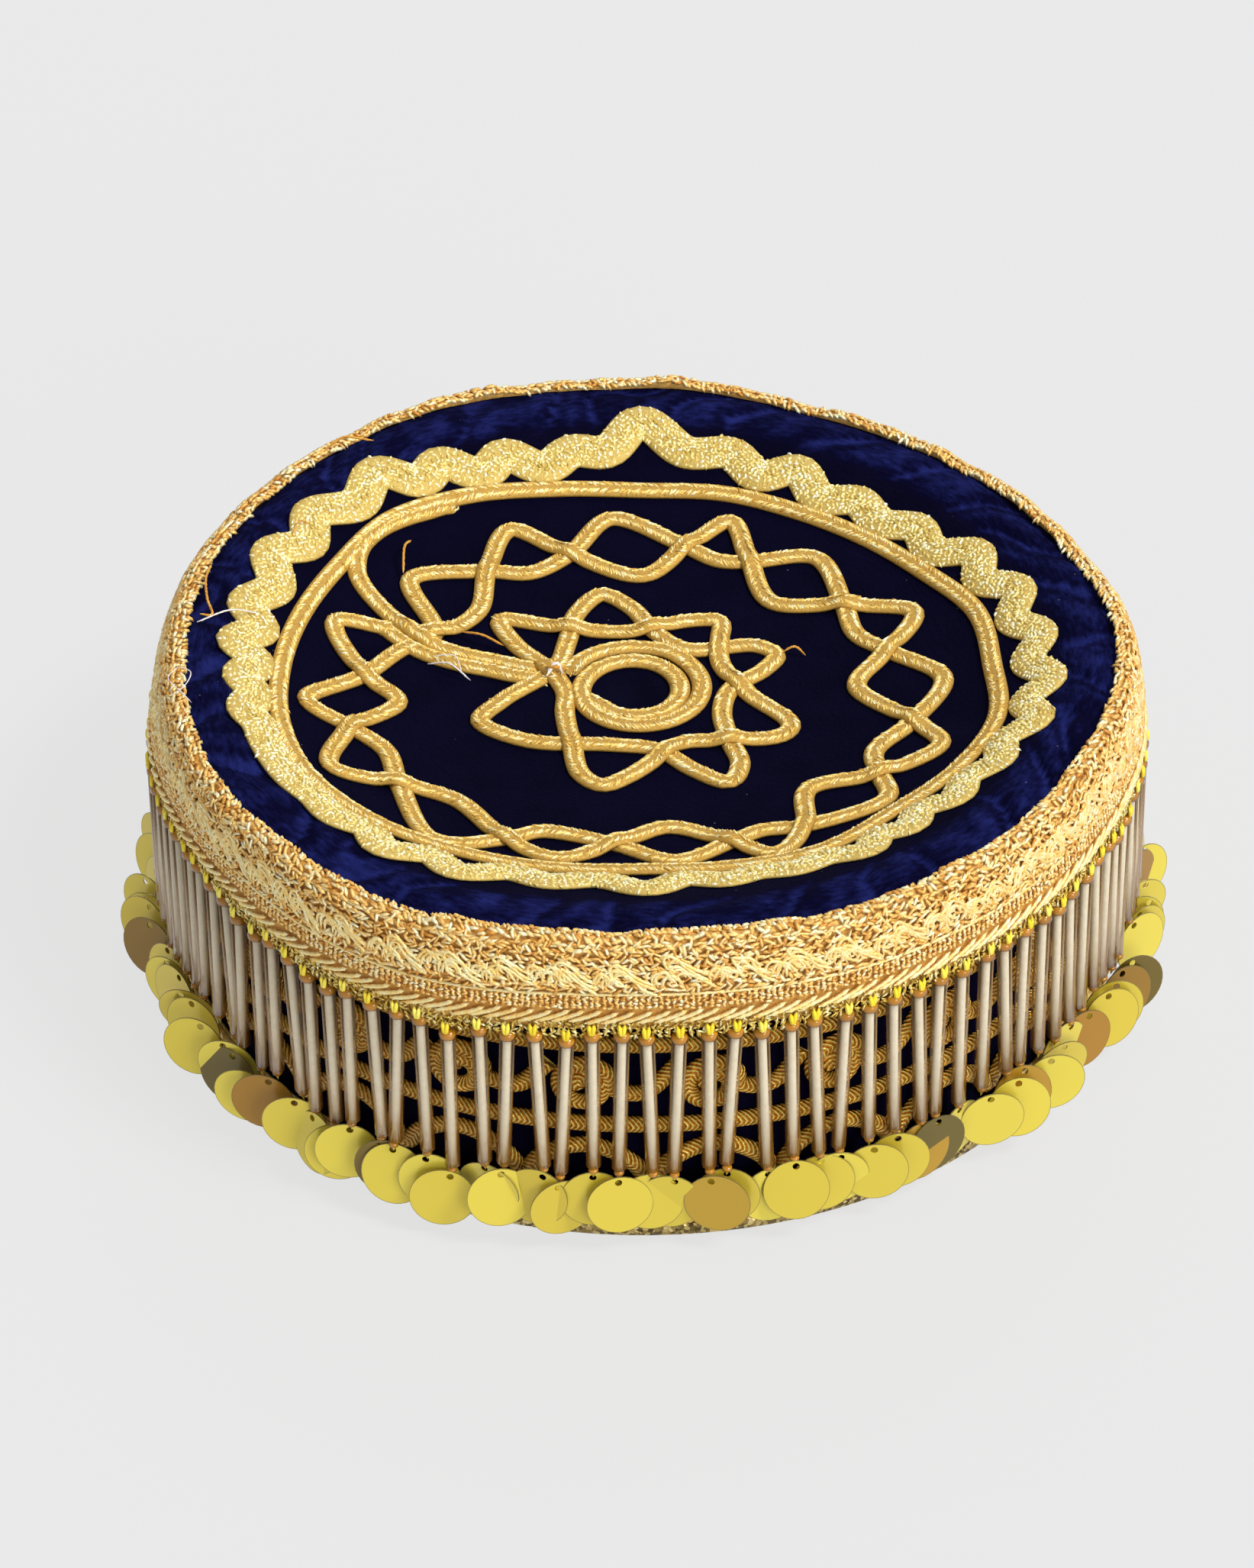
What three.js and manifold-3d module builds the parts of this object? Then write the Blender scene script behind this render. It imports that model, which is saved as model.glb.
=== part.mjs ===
// An embroidered Afghan cap: a low round velvet cap with a sunken top, gold couched cord
// and a scalloped braid on the top, a broad braid round the edge and a fringe of glass
// bugle beads and sequins that hangs over the side. Millimetres, +Z up, with the origin on
// the floor under the middle of the cap and +Y towards its back.
import * as THREE from "three";
import { mergeVertices } from "three/addons/utils/BufferGeometryUtils.js";
import Module from "manifold-3d";

const wasm = await Module();
wasm.setup();

// Sizes of the velvet body
const TOP_RADIUS = 86; // of the velvet top at its edge, on average
const EDGE_HEIGHT = 66; // of that edge over the floor
const EDGE_LIFT = 1; // how far the edge rises and falls
const DISH_DEPTH = 8.5; // how far the middle of the top has sunk below its edge
const PUCKER_DEPTH = 0.5; // of the gathers in the rolled margin
const TOP_THICKNESS = 3;
const RIM_RADIUS = 86.4; // of the velvet side at its foot
const SIDE_THICKNESS = 2.6;
const BINDING_HEIGHT = 3.3;
const BINDING_THICKNESS = 0.9; // on each face of the side
const SEAM_GAP = 0.3; // between pieces that are sewn together

// Sizes of the braids and cords
const EDGE_BRAID_WIDTH = 19.4; // from its upper to its lower edge, straight down
const EDGE_BRAID_THICKNESS = 2;
const EDGE_BRAID_LIP = 2; // that it stands over the velvet's edge
const EDGE_BRAID_FLARE = 3.6; // that its lower edge stands off the side
const HEM_BRAID_WIDTH = 6.6;
const HEM_BRAID_THICKNESS = 1.6;
const CORD_WIDTH = 3.5;
const CORD_HEIGHT = 1.5;
const CORD_LIFT = 0.45; // from the velvet to the underside of what is sewn on it
const CROSSING_LIFT = 0.45; // that a cord is raised where it runs over another
const CORD_CREST = 0.56; // share of a cord's width that its flat crest takes
const CORD_NESTING = 0.8; // share of its width that it lies from one laid close beside it
const SCALLOP_WIDTH = 6.4;
const SCALLOP_HEIGHT = 1.2;
const SCALLOP_DEPTH = 3.6; // from a notch to a lobe
const COIL_INNER_RADIUS = 8.2;
const COIL_PITCH = 4.2;
const COIL_TURNS = 1.9;
const COIL_EYE_TURNS = 0.45; // that it makes before it widens
const SIDE_CORD_WIDTH = 2.8;
const SIDE_CORD_HEIGHT = 1.3;
const UPPER_CORD_HEIGHT = 43.7; // over the floor
const LOWER_CORD_HEIGHT = 25.9;

// Sizes of the fringe
const STRAND_COUNT = 112;
const BUGLE_LENGTH = 29;
const BUGLE_DIAMETER = 2.6;
const SEED_HEIGHT = 1.8;
const SEQUIN_DIAMETER = 12;
const SEQUIN_THICKNESS = 0.5;
const SEQUIN_TURN = 21; // degrees that each is turned, so that it overlaps the next one
const THREAD_LENGTH = 0.8; // from a bugle's end to its sequin's edge
const SEQUIN_NECK = 0.3; // share of its width at its upper edge
const SEQUIN_END = 0.4; // and at its lower edge
const STRAND_STRAY = 0.12; // share of their spacing that strands stray by
const STRAND_LEAN = 0.5; // that a strand's foot strays sideways
const STRAND_DROP = 1.2; // that a strand hangs lower than the next
const FRINGE_SPLAY = 0.4; // that its foot stands further out than its head, on average

// How finely the rings, the top and the cords are cut into flat faces
const RING_SIDES = 36;
const TOP_SIDES = 44;
const CORD_STEP = 7.5;
const RING_CORD_STEP = 9;
const SCALLOP_STEPS = 3; // for each lobe
const COIL_STEPS = 12; // for each turn

// The cap's shape every 30 degrees round from +X. reach is the velvet edge's radius as a
// percentage of TOP_RADIUS, lift is a share of EDGE_LIFT, and flare is a share of
// EDGE_BRAID_FLARE.
const OUTLINE = [
  { reach: 101.3, lift: 0.0, flare: 0.8 },
  { reach: 98.3, lift: -0.7, flare: 0.9 },
  { reach: 98.0, lift: -1.0, flare: 0.9 },
  { reach: 100.2, lift: 0.3, flare: 0.7 },
  { reach: 101.5, lift: 1.1, flare: 1.2 },
  { reach: 100.0, lift: 0.4, flare: 1.9 },
  { reach: 98.3, lift: 0.0, flare: 1.3 },
  { reach: 100.0, lift: 0.0, flare: 0.45 },
  { reach: 101.0, lift: -0.6, flare: 0.8 },
  { reach: 98.8, lift: 0.5, flare: 0.45 },
  { reach: 100.0, lift: 0.0, flare: 0.45 },
  { reach: 99.5, lift: 0.0, flare: 0.75 },
];

// The top's section. at is a share of the way from the middle to the edge, rise is a share
// of DISH_DEPTH from the edge up, and pucker is a share of PUCKER_DEPTH.
const DISH = [
  { at: 0.0, rise: -1.0, pucker: 0 },
  { at: 0.35, rise: -0.965, pucker: 0 },
  { at: 0.61, rise: -0.76, pucker: 0 },
  { at: 0.7, rise: -0.6, pucker: 0 },
  { at: 0.78, rise: -0.335, pucker: 0 },
  { at: 0.86, rise: -0.03, pucker: 0 },
  { at: 0.92, rise: 0.13, pucker: 0.6 },
  { at: 0.965, rise: 0.13, pucker: 1 },
  { at: 1.0, rise: 0.0, pucker: 0.4 },
];

// The edge braid's section. down is a share of EDGE_BRAID_WIDTH, and out is a share of
// EDGE_BRAID_FLARE.
const EDGE_BRAID_SECTION = [
  { down: 0.0, out: 0.0 },
  { down: 0.15, out: 0.25 },
  { down: 0.5, out: 0.7 },
  { down: 1.0, out: 1.0 },
];

// The ring of cord inside the scallops: its radius every 15 degrees round from +X, as a
// percentage of TOP_RADIUS.
const RING_CORD = [
  74.5, 74.5, 71, 69.5, 69, 69.5, 69, 71.5, 75.5, 78, 76.5, 76.5,
  77.5, 79.5, 80.5, 78, 73.5, 70.5, 68.5, 70.5, 73, 72, 75, 77,
];

// The chain of two strands, a row for each eye, clockwise from the back. The angles are in
// degrees and the radii are percentages of TOP_RADIUS: of the crossing before the eye, the
// eye's outer lobe and its inner lobe.
const CHAIN = [
  { crossAngle: 108.5, cross: 50.5, outerAngle: 96.5, outer: 60.5, innerAngle: 90, inner: 40.5 },
  { crossAngle: 79, cross: 51, outerAngle: 71.5, outer: 61.5, innerAngle: 69.5, inner: 48 },
  { crossAngle: 62, cross: 50, outerAngle: 49.5, outer: 58.5, innerAngle: 46.5, inner: 41 },
  { crossAngle: 32, cross: 51.5, outerAngle: 21.5, outer: 63, innerAngle: 20, inner: 49 },
  { crossAngle: 11, cross: 53.5, outerAngle: -1, outer: 64, innerAngle: -2, inner: 45.5 },
  { crossAngle: -15.5, cross: 59, outerAngle: -22.5, outer: 67.5, innerAngle: -28.5, inner: 55 },
  { crossAngle: -35, cross: 60, outerAngle: -41.5, outer: 67, innerAngle: -48.5, inner: 51.5 },
  { crossAngle: -58, cross: 62, outerAngle: -67, outer: 68.5, innerAngle: -66, inner: 58.5 },
  { crossAngle: -73, cross: 60, outerAngle: -84.5, outer: 65, innerAngle: -85, inner: 51.5 },
  { crossAngle: -96.5, cross: 58, outerAngle: -106.5, outer: 66, innerAngle: -112.5, inner: 57 },
  { crossAngle: -117.5, cross: 63, outerAngle: -126.5, outer: 73, innerAngle: -133.5, inner: 57.5 },
  { crossAngle: -144.5, cross: 63.5, outerAngle: -153, outer: 74, innerAngle: -156, inner: 60 },
  { crossAngle: -164.5, cross: 64.5, outerAngle: -172.5, outer: 72.5, innerAngle: -173, inner: 53 },
  { crossAngle: -182.5, cross: 60, outerAngle: -197, outer: 69.5, innerAngle: -193, inner: 54 },
  { crossAngle: -202.5, cross: 49, outerAngle: -216.5, outer: 63, innerAngle: -216.5, inner: 45 },
  { crossAngle: -230.5, cross: 53.5, outerAngle: -242.5, outer: 63, innerAngle: -239, inner: 48 },
];

// The scalloped braid: each lobe's angle in degrees, and its outer radius as a percentage
// of TOP_RADIUS, clockwise from the pointed one at the back.
const SCALLOPS = [
  { angle: 90, outer: 91 }, { angle: 75.5, outer: 84 }, { angle: 64, outer: 83 },
  { angle: 51.5, outer: 80.5 }, { angle: 39, outer: 81.5 }, { angle: 27, outer: 85.5 },
  { angle: 15.5, outer: 88 }, { angle: 4, outer: 89 }, { angle: -7, outer: 90.5 },
  { angle: -17, outer: 90 }, { angle: -27.5, outer: 87 }, { angle: -38, outer: 85.5 },
  { angle: -47.5, outer: 84.5 }, { angle: -56, outer: 85 }, { angle: -67, outer: 82 },
  { angle: -78, outer: 81 }, { angle: -90, outer: 83.5 }, { angle: -105, outer: 82 },
  { angle: -118, outer: 87 }, { angle: -129, outer: 89.5 }, { angle: -139, outer: 89 },
  { angle: -149, outer: 88.5 }, { angle: -159, outer: 88.5 }, { angle: -167, outer: 90 },
  { angle: -175, outer: 89.5 }, { angle: -183, outer: 91 }, { angle: -192, outer: 91 },
  { angle: -204.5, outer: 92.5 }, { angle: -215.5, outer: 92.5 }, { angle: -229, outer: 93 },
  { angle: -238.5, outer: 89 }, { angle: -248.5, outer: 86.5 }, { angle: -259, outer: 84.5 },
];

// The star's two loops and the strand that joins it to the ring cord, as points x, y in
// percentages of TOP_RADIUS. Every loop of the star has four long tips. A second strand
// lies close beside the first one from its LINK_FORK point on.
const STAR_LOOPS = [
  [
    [-9, 34], [-2.5, 29], [2.5, 20], [9.5, 13.5], [24, 14.5], [28.5, 11], [25.5, 5.5],
    [18.5, -1], [16.5, -9], [18, -19.5], [20, -28], [17.5, -34.5], [10.5, -30], [2.5, -22.5],
    [-7, -20.5], [-24.5, -19], [-35, -12], [-30.5, -4.5], [-19, 7.5], [-16.5, 17], [-14.5, 27],
  ],
  [
    [-31, 24.5], [-18, 22], [-10, 20.5], [-1, 20.5], [9.5, 24], [16.5, 23.5], [16.5, 17],
    [16.5, 8.5], [22, -2.5], [31, -14], [29, -18], [16.5, -19.5], [8, -20], [3, -25],
    [-4, -32], [-9, -35], [-13.5, -31], [-15.5, -20.5], [-17, -9], [-17, -1], [-22, 8.5],
    [-27.5, 15.5],
  ],
];
const COIL_CENTRE = [-1.8, -0.8];
const LINK_STRAND = [
  [-46.5, 59.5], [-53, 55.5], [-58, 51], [-61.5, 45.5], [-62.5, 40.5], [-62, 35.5],
  [-55.5, 25], [-47, 15.5], [-39.5, 12], [-32.5, 10], [-25.5, 7.5], [-20, 6],
];
const LINK_FORK = 6;

// Plain shapes

function polar(radius, angle, z) {
  return new THREE.Vector3(radius * Math.cos(angle), radius * Math.sin(angle), z);
}

function radians(degrees) {
  return THREE.MathUtils.degToRad(degrees);
}

function unit(percent) {
  return (TOP_RADIUS * percent) / 100;
}

// A steady scatter from -1 to 1, the same on every run.
function scatter(number, stride) {
  return 2 * ((number * stride) % 1) - 1;
}

// A closed solid through a row of sections, which all list their points in the same order,
// clockwise as seen from the section that comes next.
function skin(sections, isLoop) {
  const count = sections[0].length;
  const index = [];
  const steps = isLoop ? sections.length : sections.length - 1;
  for (let step = 0; step < steps; step++) {
    const here = step * count;
    const next = ((step + 1) % sections.length) * count;
    for (let k = 0; k < count; k++) {
      const turn = (k + 1) % count;
      index.push(here + k, next + turn, here + turn, here + k, next + k, next + turn);
    }
  }
  if (!isLoop) {
    const last = steps * count;
    for (let k = 1; k < count - 1; k++) {
      index.push(0, k, k + 1, last, last + k + 1, last + k);
    }
  }
  return solidOf(sections.flat(), index);
}

// A manifold solid from points and triangles, with points that coincide made one.
function solidOf(points, index) {
  const loose = new THREE.BufferGeometry().setFromPoints(points);
  loose.setIndex(index);
  const merged = mergeVertices(loose, 1e-4);
  const corners = merged.index.array;
  const kept = [];
  for (let i = 0; i < corners.length; i += 3) {
    const [a, b, c] = [corners[i], corners[i + 1], corners[i + 2]];
    if (a !== b && b !== c && c !== a) {
      kept.push(a, b, c);
    }
  }
  const mesh = new wasm.Mesh({
    numProp: 3,
    vertProperties: merged.attributes.position.array,
    triVerts: new Uint32Array(kept),
  });
  return new wasm.Manifold(mesh);
}

// A ring whose section, a list of [radius, height], is worked out for each angle.
function ringSolid(sides, sectionAt) {
  const sections = [];
  for (let side = 0; side < sides; side++) {
    const angle = (2 * Math.PI * side) / sides;
    sections.push(sectionAt(angle).map(([radius, z]) => polar(radius, angle, z)));
  }
  return skin(sections, true);
}

function joined(solids) {
  return solids.reduce((whole, solid) => whole.add(solid));
}

// What is left of a piece, in its one main body, when its neighbours are cut out of it.
function cutClear(piece, neighbours) {
  const bodies = piece.subtract(joined(neighbours)).decompose();
  return bodies.reduce((main, body) => (body.volume() > main.volume() ? body : main));
}

// The velvet body

function around(angle, column) {
  const turn = THREE.MathUtils.euclideanModulo(angle / (2 * Math.PI), 1) * OUTLINE.length;
  const row = Math.floor(turn) % OUTLINE.length;
  const next = (row + 1) % OUTLINE.length;
  const ease = THREE.MathUtils.smoothstep(turn - Math.floor(turn), 0, 1);
  return THREE.MathUtils.lerp(OUTLINE[row][column], OUTLINE[next][column], ease);
}

function edgeRadius(angle) {
  return unit(around(angle, "reach"));
}

function edgeHeight(angle) {
  return EDGE_HEIGHT + EDGE_LIFT * around(angle, "lift");
}

// The velvet's height at a share of the way out, before its puckers.
function topHeight(share, angle) {
  const row = Math.max(1, DISH.findIndex((r) => r.at >= Math.min(share, 1)));
  const [inner, outer] = [DISH[row - 1], DISH[row]];
  const rise = THREE.MathUtils.mapLinear(share, inner.at, outer.at, inner.rise, outer.rise);
  return EDGE_HEIGHT + DISH_DEPTH * rise + EDGE_LIFT * around(angle, "lift") * share ** 6;
}

function topHeightAt(x, y) {
  const angle = Math.atan2(y, x);
  return topHeight(Math.hypot(x, y) / edgeRadius(angle), angle);
}

function crownTop() {
  const sections = [];
  for (let side = 0; side < TOP_SIDES; side++) {
    const angle = (2 * Math.PI * side) / TOP_SIDES;
    const fold = side % 2 ? 1 : -1;
    const upper = DISH.map((row) =>
      polar(
        row.at * edgeRadius(angle),
        angle,
        topHeight(row.at, angle) + fold * PUCKER_DEPTH * row.pucker,
      ),
    );
    const seat = edgeRadius(angle) - SIDE_THICKNESS - 2 * SEAM_GAP;
    const seatHeight = edgeHeight(angle) - TOP_THICKNESS;
    const lower = [
      ...[0, 0.61, 0.78].map((at) =>
        polar(at * edgeRadius(angle), angle, topHeight(at, angle) - TOP_THICKNESS),
      ),
      polar(seat, angle, seatHeight),
      polar(edgeRadius(angle), angle, seatHeight),
    ];
    sections.push([...lower, ...upper.reverse()]);
  }
  return skin(sections, true);
}

// The velvet side's outer radius: round at its foot, and the top's outline at its head.
function sideRadius(angle, z) {
  return THREE.MathUtils.mapLinear(z, 0, EDGE_HEIGHT, RIM_RADIUS, edgeRadius(angle));
}

function sideBand() {
  return ringSolid(RING_SIDES, (angle) => {
    const foot = BINDING_HEIGHT + SEAM_GAP;
    const head = edgeHeight(angle) - TOP_THICKNESS - SEAM_GAP;
    const outside = [foot, (foot + head) / 2, head].map((z) => [sideRadius(angle, z), z]);
    const inside = outside.map(([radius, z]) => [radius - SIDE_THICKNESS, z]).reverse();
    return [...outside, ...inside];
  });
}

function rimBinding() {
  const outer = RIM_RADIUS + BINDING_THICKNESS;
  const inner = RIM_RADIUS - SIDE_THICKNESS - BINDING_THICKNESS;
  return ringSolid(RING_SIDES, () => [
    [inner, 0],
    [outer, 0],
    [outer, BINDING_HEIGHT],
    [inner, BINDING_HEIGHT],
  ]);
}

// The braids round the side

// A ring of flat faces lies this much inside the round that it follows.
const FACET_SAG = TOP_RADIUS * (1 - Math.cos(Math.PI / RING_SIDES));

// The middle of a bugle bead that hangs clear of a cord sewn on the side at some height.
function clearOfCord(angle, z) {
  return sideRadius(angle, z) + SIDE_CORD_HEIGHT + 2 * SEAM_GAP + BUGLE_DIAMETER / 2;
}

// The braid's foot flares far enough for the fringe to hang clear of the upper side cord.
function braidFlare(angle) {
  const fringeSeat = edgeRadius(angle) + SEAM_GAP + FACET_SAG + EDGE_BRAID_THICKNESS / 2;
  const least = clearOfCord(angle, UPPER_CORD_HEIGHT) - fringeSeat;
  return Math.max(EDGE_BRAID_FLARE * around(angle, "flare"), least);
}

function edgeBraidInside(angle, row) {
  return edgeRadius(angle) + SEAM_GAP + FACET_SAG + braidFlare(angle) * row.out;
}

function edgeBraid() {
  return ringSolid(RING_SIDES, (angle) => {
    const height = (row) => edgeHeight(angle) + EDGE_BRAID_LIP - EDGE_BRAID_WIDTH * row.down;
    const inside = EDGE_BRAID_SECTION.map((row) => [edgeBraidInside(angle, row), height(row)]);
    const outside = inside.map(([radius, z]) => [radius + EDGE_BRAID_THICKNESS, z]);
    return [...inside, ...outside.reverse()];
  });
}

// A band of braid or cord sewn flat on the side, between two heights.
function sideTrim(foot, top, thickness) {
  const bevel = (top - foot) / 5;
  return ringSolid(RING_SIDES, (angle) => {
    const wall = (z) => sideRadius(angle, z) + SEAM_GAP;
    return [
      [wall(foot), foot],
      [wall(foot + bevel) + thickness, foot + bevel],
      [wall(top - bevel) + thickness, top - bevel],
      [wall(top), top],
    ];
  });
}

function hemBraid() {
  const foot = BINDING_HEIGHT + SEAM_GAP;
  return sideTrim(foot, foot + HEM_BRAID_WIDTH, HEM_BRAID_THICKNESS);
}

function sideCord(height) {
  const half = SIDE_CORD_WIDTH / 2;
  return sideTrim(height - half, height + half, SIDE_CORD_HEIGHT);
}

// The cords and the scalloped braid on the top

// A cord laid on the velvet along plan points [x, y] in millimetres, raised by lift. With
// room it is the space that its neighbours leave free: larger by that much on each side,
// and down to the velvet.
function cordOnTop(points, isLoop, { width, height, lift = 0, step = CORD_STEP, room = 0 }) {
  const stations = points.map(([x, y]) => new THREE.Vector3(x, y, 0));
  const curve = new THREE.CatmullRomCurve3(stations, isLoop, "centripetal");
  const pieces = Math.max(3, Math.round(curve.getLength() / step));
  const under = room > 0 ? -room : lift;
  const over = lift + height + room;
  const sections = [];
  for (let piece = 0; piece < (isLoop ? pieces : pieces + 1); piece++) {
    const middle = curve.getPointAt(piece / pieces);
    const tangent = curve.getTangentAt(piece / pieces);
    const corner = (across, up) => {
      const x = middle.x - tangent.y * across;
      const y = middle.y + tangent.x * across;
      return new THREE.Vector3(x, y, topHeightAt(x, y) + CORD_LIFT + up);
    };
    const half = width / 2 + room;
    const crest = CORD_CREST * half;
    sections.push([
      corner(-half, under),
      corner(-crest, over),
      corner(crest, over),
      corner(half, under),
    ]);
  }
  return skin(sections, isLoop);
}

function plan(percentPoints) {
  return percentPoints.map(([x, y]) => [unit(x), unit(y)]);
}

function polarPlan(degrees, percent) {
  const at = polar(unit(percent), radians(degrees), 0);
  return [at.x, at.y];
}

function ringCord() {
  const points = RING_CORD.map((percent, i) => polarPlan((360 * i) / RING_CORD.length, percent));
  return cordOnTop(points, true, {
    width: CORD_WIDTH,
    height: CORD_HEIGHT,
    step: RING_CORD_STEP,
  });
}

// Cords that cross are thinner than a lone one, and every other one is raised.
function crossingCord(points, isLoop, rank, room) {
  const height = CORD_HEIGHT - CROSSING_LIFT;
  return cordOnTop(points, isLoop, {
    width: CORD_WIDTH,
    height,
    lift: rank * CROSSING_LIFT,
    room,
  });
}

// Each strand of the chain takes the outer lobe of one eye and the inner lobe of the next.
function chainCord(room) {
  const strands = [0, 1].map((first) => {
    const points = CHAIN.flatMap((eye, i) => {
      const isOuter = i % 2 === first;
      const lobe = isOuter
        ? polarPlan(eye.outerAngle, eye.outer)
        : polarPlan(eye.innerAngle, eye.inner);
      return [polarPlan(eye.crossAngle, eye.cross), lobe];
    });
    return crossingCord(points.reverse(), true, first, room);
  });
  return joined(strands);
}

// The star's loops, and the coil in its middle, which ends at the star's left.
function starCord(room) {
  const loops = STAR_LOOPS.map((loop, i) => crossingCord(plan(loop).reverse(), true, i, room));
  const [centreX, centreY] = plan([COIL_CENTRE])[0];
  const count = Math.round(COIL_TURNS * COIL_STEPS);
  const spiral = [];
  for (let i = 0; i <= count; i++) {
    const turn = i / COIL_STEPS;
    const radius = COIL_INNER_RADIUS + COIL_PITCH * Math.max(0, turn - COIL_EYE_TURNS);
    const angle = Math.PI - 2 * Math.PI * (COIL_TURNS - turn);
    spiral.push([centreX + radius * Math.cos(angle), centreY + radius * Math.sin(angle)]);
  }
  return joined([...loops, crossingCord(spiral, false, 0.5, room)]);
}

function linkCord(room) {
  const strand = plan(LINK_STRAND);
  const beside = strand.slice(LINK_FORK).map(([x, y], i) => {
    const [fromX, fromY] = strand[LINK_FORK + i - 1];
    const away = new THREE.Vector2(y - fromY, fromX - x).setLength(CORD_NESTING * CORD_WIDTH);
    return [x + away.x, y + away.y];
  });
  return joined([strand, beside].map((points, i) => crossingCord(points, false, i, room)));
}

function ringCordPercent(degrees) {
  const turn = (THREE.MathUtils.euclideanModulo(degrees, 360) * RING_CORD.length) / 360;
  const row = Math.floor(turn);
  return THREE.MathUtils.lerp(RING_CORD[row], RING_CORD[(row + 1) % RING_CORD.length], turn - row);
}

// The lobes swing in and out round the ring cord, and their notches stay clear of it.
function scallopBraid() {
  const percent = (length) => (100 * length) / TOP_RADIUS;
  const fromRing = percent((SCALLOP_WIDTH + CORD_WIDTH) / 2 + 2 * SEAM_GAP);
  const points = SCALLOPS.flatMap((lobe, i) => {
    const next = SCALLOPS[(i + 1) % SCALLOPS.length];
    const notchAngle = lobe.angle - THREE.MathUtils.euclideanModulo(lobe.angle - next.angle, 360) / 2;
    const crest = lobe.outer - percent(SCALLOP_WIDTH / 2);
    const notch = (lobe.outer + next.outer) / 2 - percent(SCALLOP_WIDTH / 2 + SCALLOP_DEPTH);
    return [
      polarPlan(lobe.angle, Math.max(crest, ringCordPercent(lobe.angle) + fromRing)),
      polarPlan(notchAngle, Math.max(notch, ringCordPercent(notchAngle) + fromRing)),
    ];
  });
  const girth = 2 * Math.PI * unit(SCALLOPS[0].outer);
  return cordOnTop(points.reverse(), true, {
    width: SCALLOP_WIDTH,
    height: SCALLOP_HEIGHT,
    step: girth / (SCALLOPS.length * SCALLOP_STEPS),
  });
}

// The fringe

const FRINGE_SEAT = EDGE_BRAID_SECTION[EDGE_BRAID_SECTION.length - 1];

function fringeRadius(angle) {
  return edgeBraidInside(angle, FRINGE_SEAT) + EDGE_BRAID_THICKNESS / 2;
}

function fringeHeight(angle) {
  return edgeHeight(angle) + EDGE_BRAID_LIP - EDGE_BRAID_WIDTH - SEAM_GAP;
}

function bugleFootRadius(angle) {
  const splayed = fringeRadius(angle) + FRINGE_SPLAY * around(angle, "flare");
  return Math.max(splayed, clearOfCord(angle, 0));
}

// The sequins hang outside the hem braid.
function sequinRadius(angle) {
  const reach = (SEQUIN_DIAMETER / 2) * Math.sin(radians(SEQUIN_TURN)) + SEQUIN_THICKNESS;
  const outsideHem = RIM_RADIUS + HEM_BRAID_THICKNESS + 2 * SEAM_GAP + reach;
  return Math.max(bugleFootRadius(angle), outsideHem);
}

// How a strand's angle, lean and drop are scattered from one strand to the next.
const STRIDES = { angle: 0.618, lean: 0.414, drop: 0.755 };

// A strand is one strip, a square bar for the bugle bead that flattens to a neck, widens
// to the sequin and narrows again. It is given as five sections, from its head down, each
// with two corners on its inner face and then two on its outer one.
function strandSections(number) {
  const pitch = (2 * Math.PI) / STRAND_COUNT;
  const angle = (number + STRAND_STRAY * scatter(number, STRIDES.angle)) * pitch;
  const out = polar(1, angle, 0);
  const along = polar(1, angle + Math.PI / 2, 0);
  const turn = radians(SEQUIN_TURN);
  const bead = { across: along, deep: out, width: BUGLE_DIAMETER, depth: BUGLE_DIAMETER };
  const sequin = {
    across: along.clone().multiplyScalar(Math.cos(turn)).addScaledVector(out, Math.sin(turn)),
    deep: out.clone().multiplyScalar(Math.cos(turn)).addScaledVector(along, -Math.sin(turn)),
    width: SEQUIN_DIAMETER,
    depth: SEQUIN_THICKNESS,
  };
  const drop = STRAND_DROP * Math.max(0, scatter(number, STRIDES.drop)) ** 2;
  const lean = STRAND_LEAN * scatter(number, STRIDES.lean);
  const head = fringeHeight(angle) - SEED_HEIGHT;
  const foot = head - BUGLE_LENGTH - drop;
  const neck = foot - THREAD_LENGTH;
  const section = (z, radius, sideways, form, share) => {
    const middle = out.clone().multiplyScalar(radius).addScaledVector(along, sideways).setZ(z);
    return [[-1, -1], [1, -1], [1, 1], [-1, 1]].map(([side, face]) =>
      middle
        .clone()
        .addScaledVector(form.across, (side * share * form.width) / 2)
        .addScaledVector(form.deep, (face * form.depth) / 2),
    );
  };
  return [
    section(head, fringeRadius(angle), 0, bead, 1),
    section(foot, bugleFootRadius(angle), lean, bead, 1),
    section(neck, sequinRadius(angle), lean, sequin, SEQUIN_NECK),
    section(neck - SEQUIN_DIAMETER / 2, sequinRadius(angle), lean, sequin, 1),
    section(neck - SEQUIN_DIAMETER, sequinRadius(angle), lean, sequin, SEQUIN_END),
  ];
}

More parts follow.
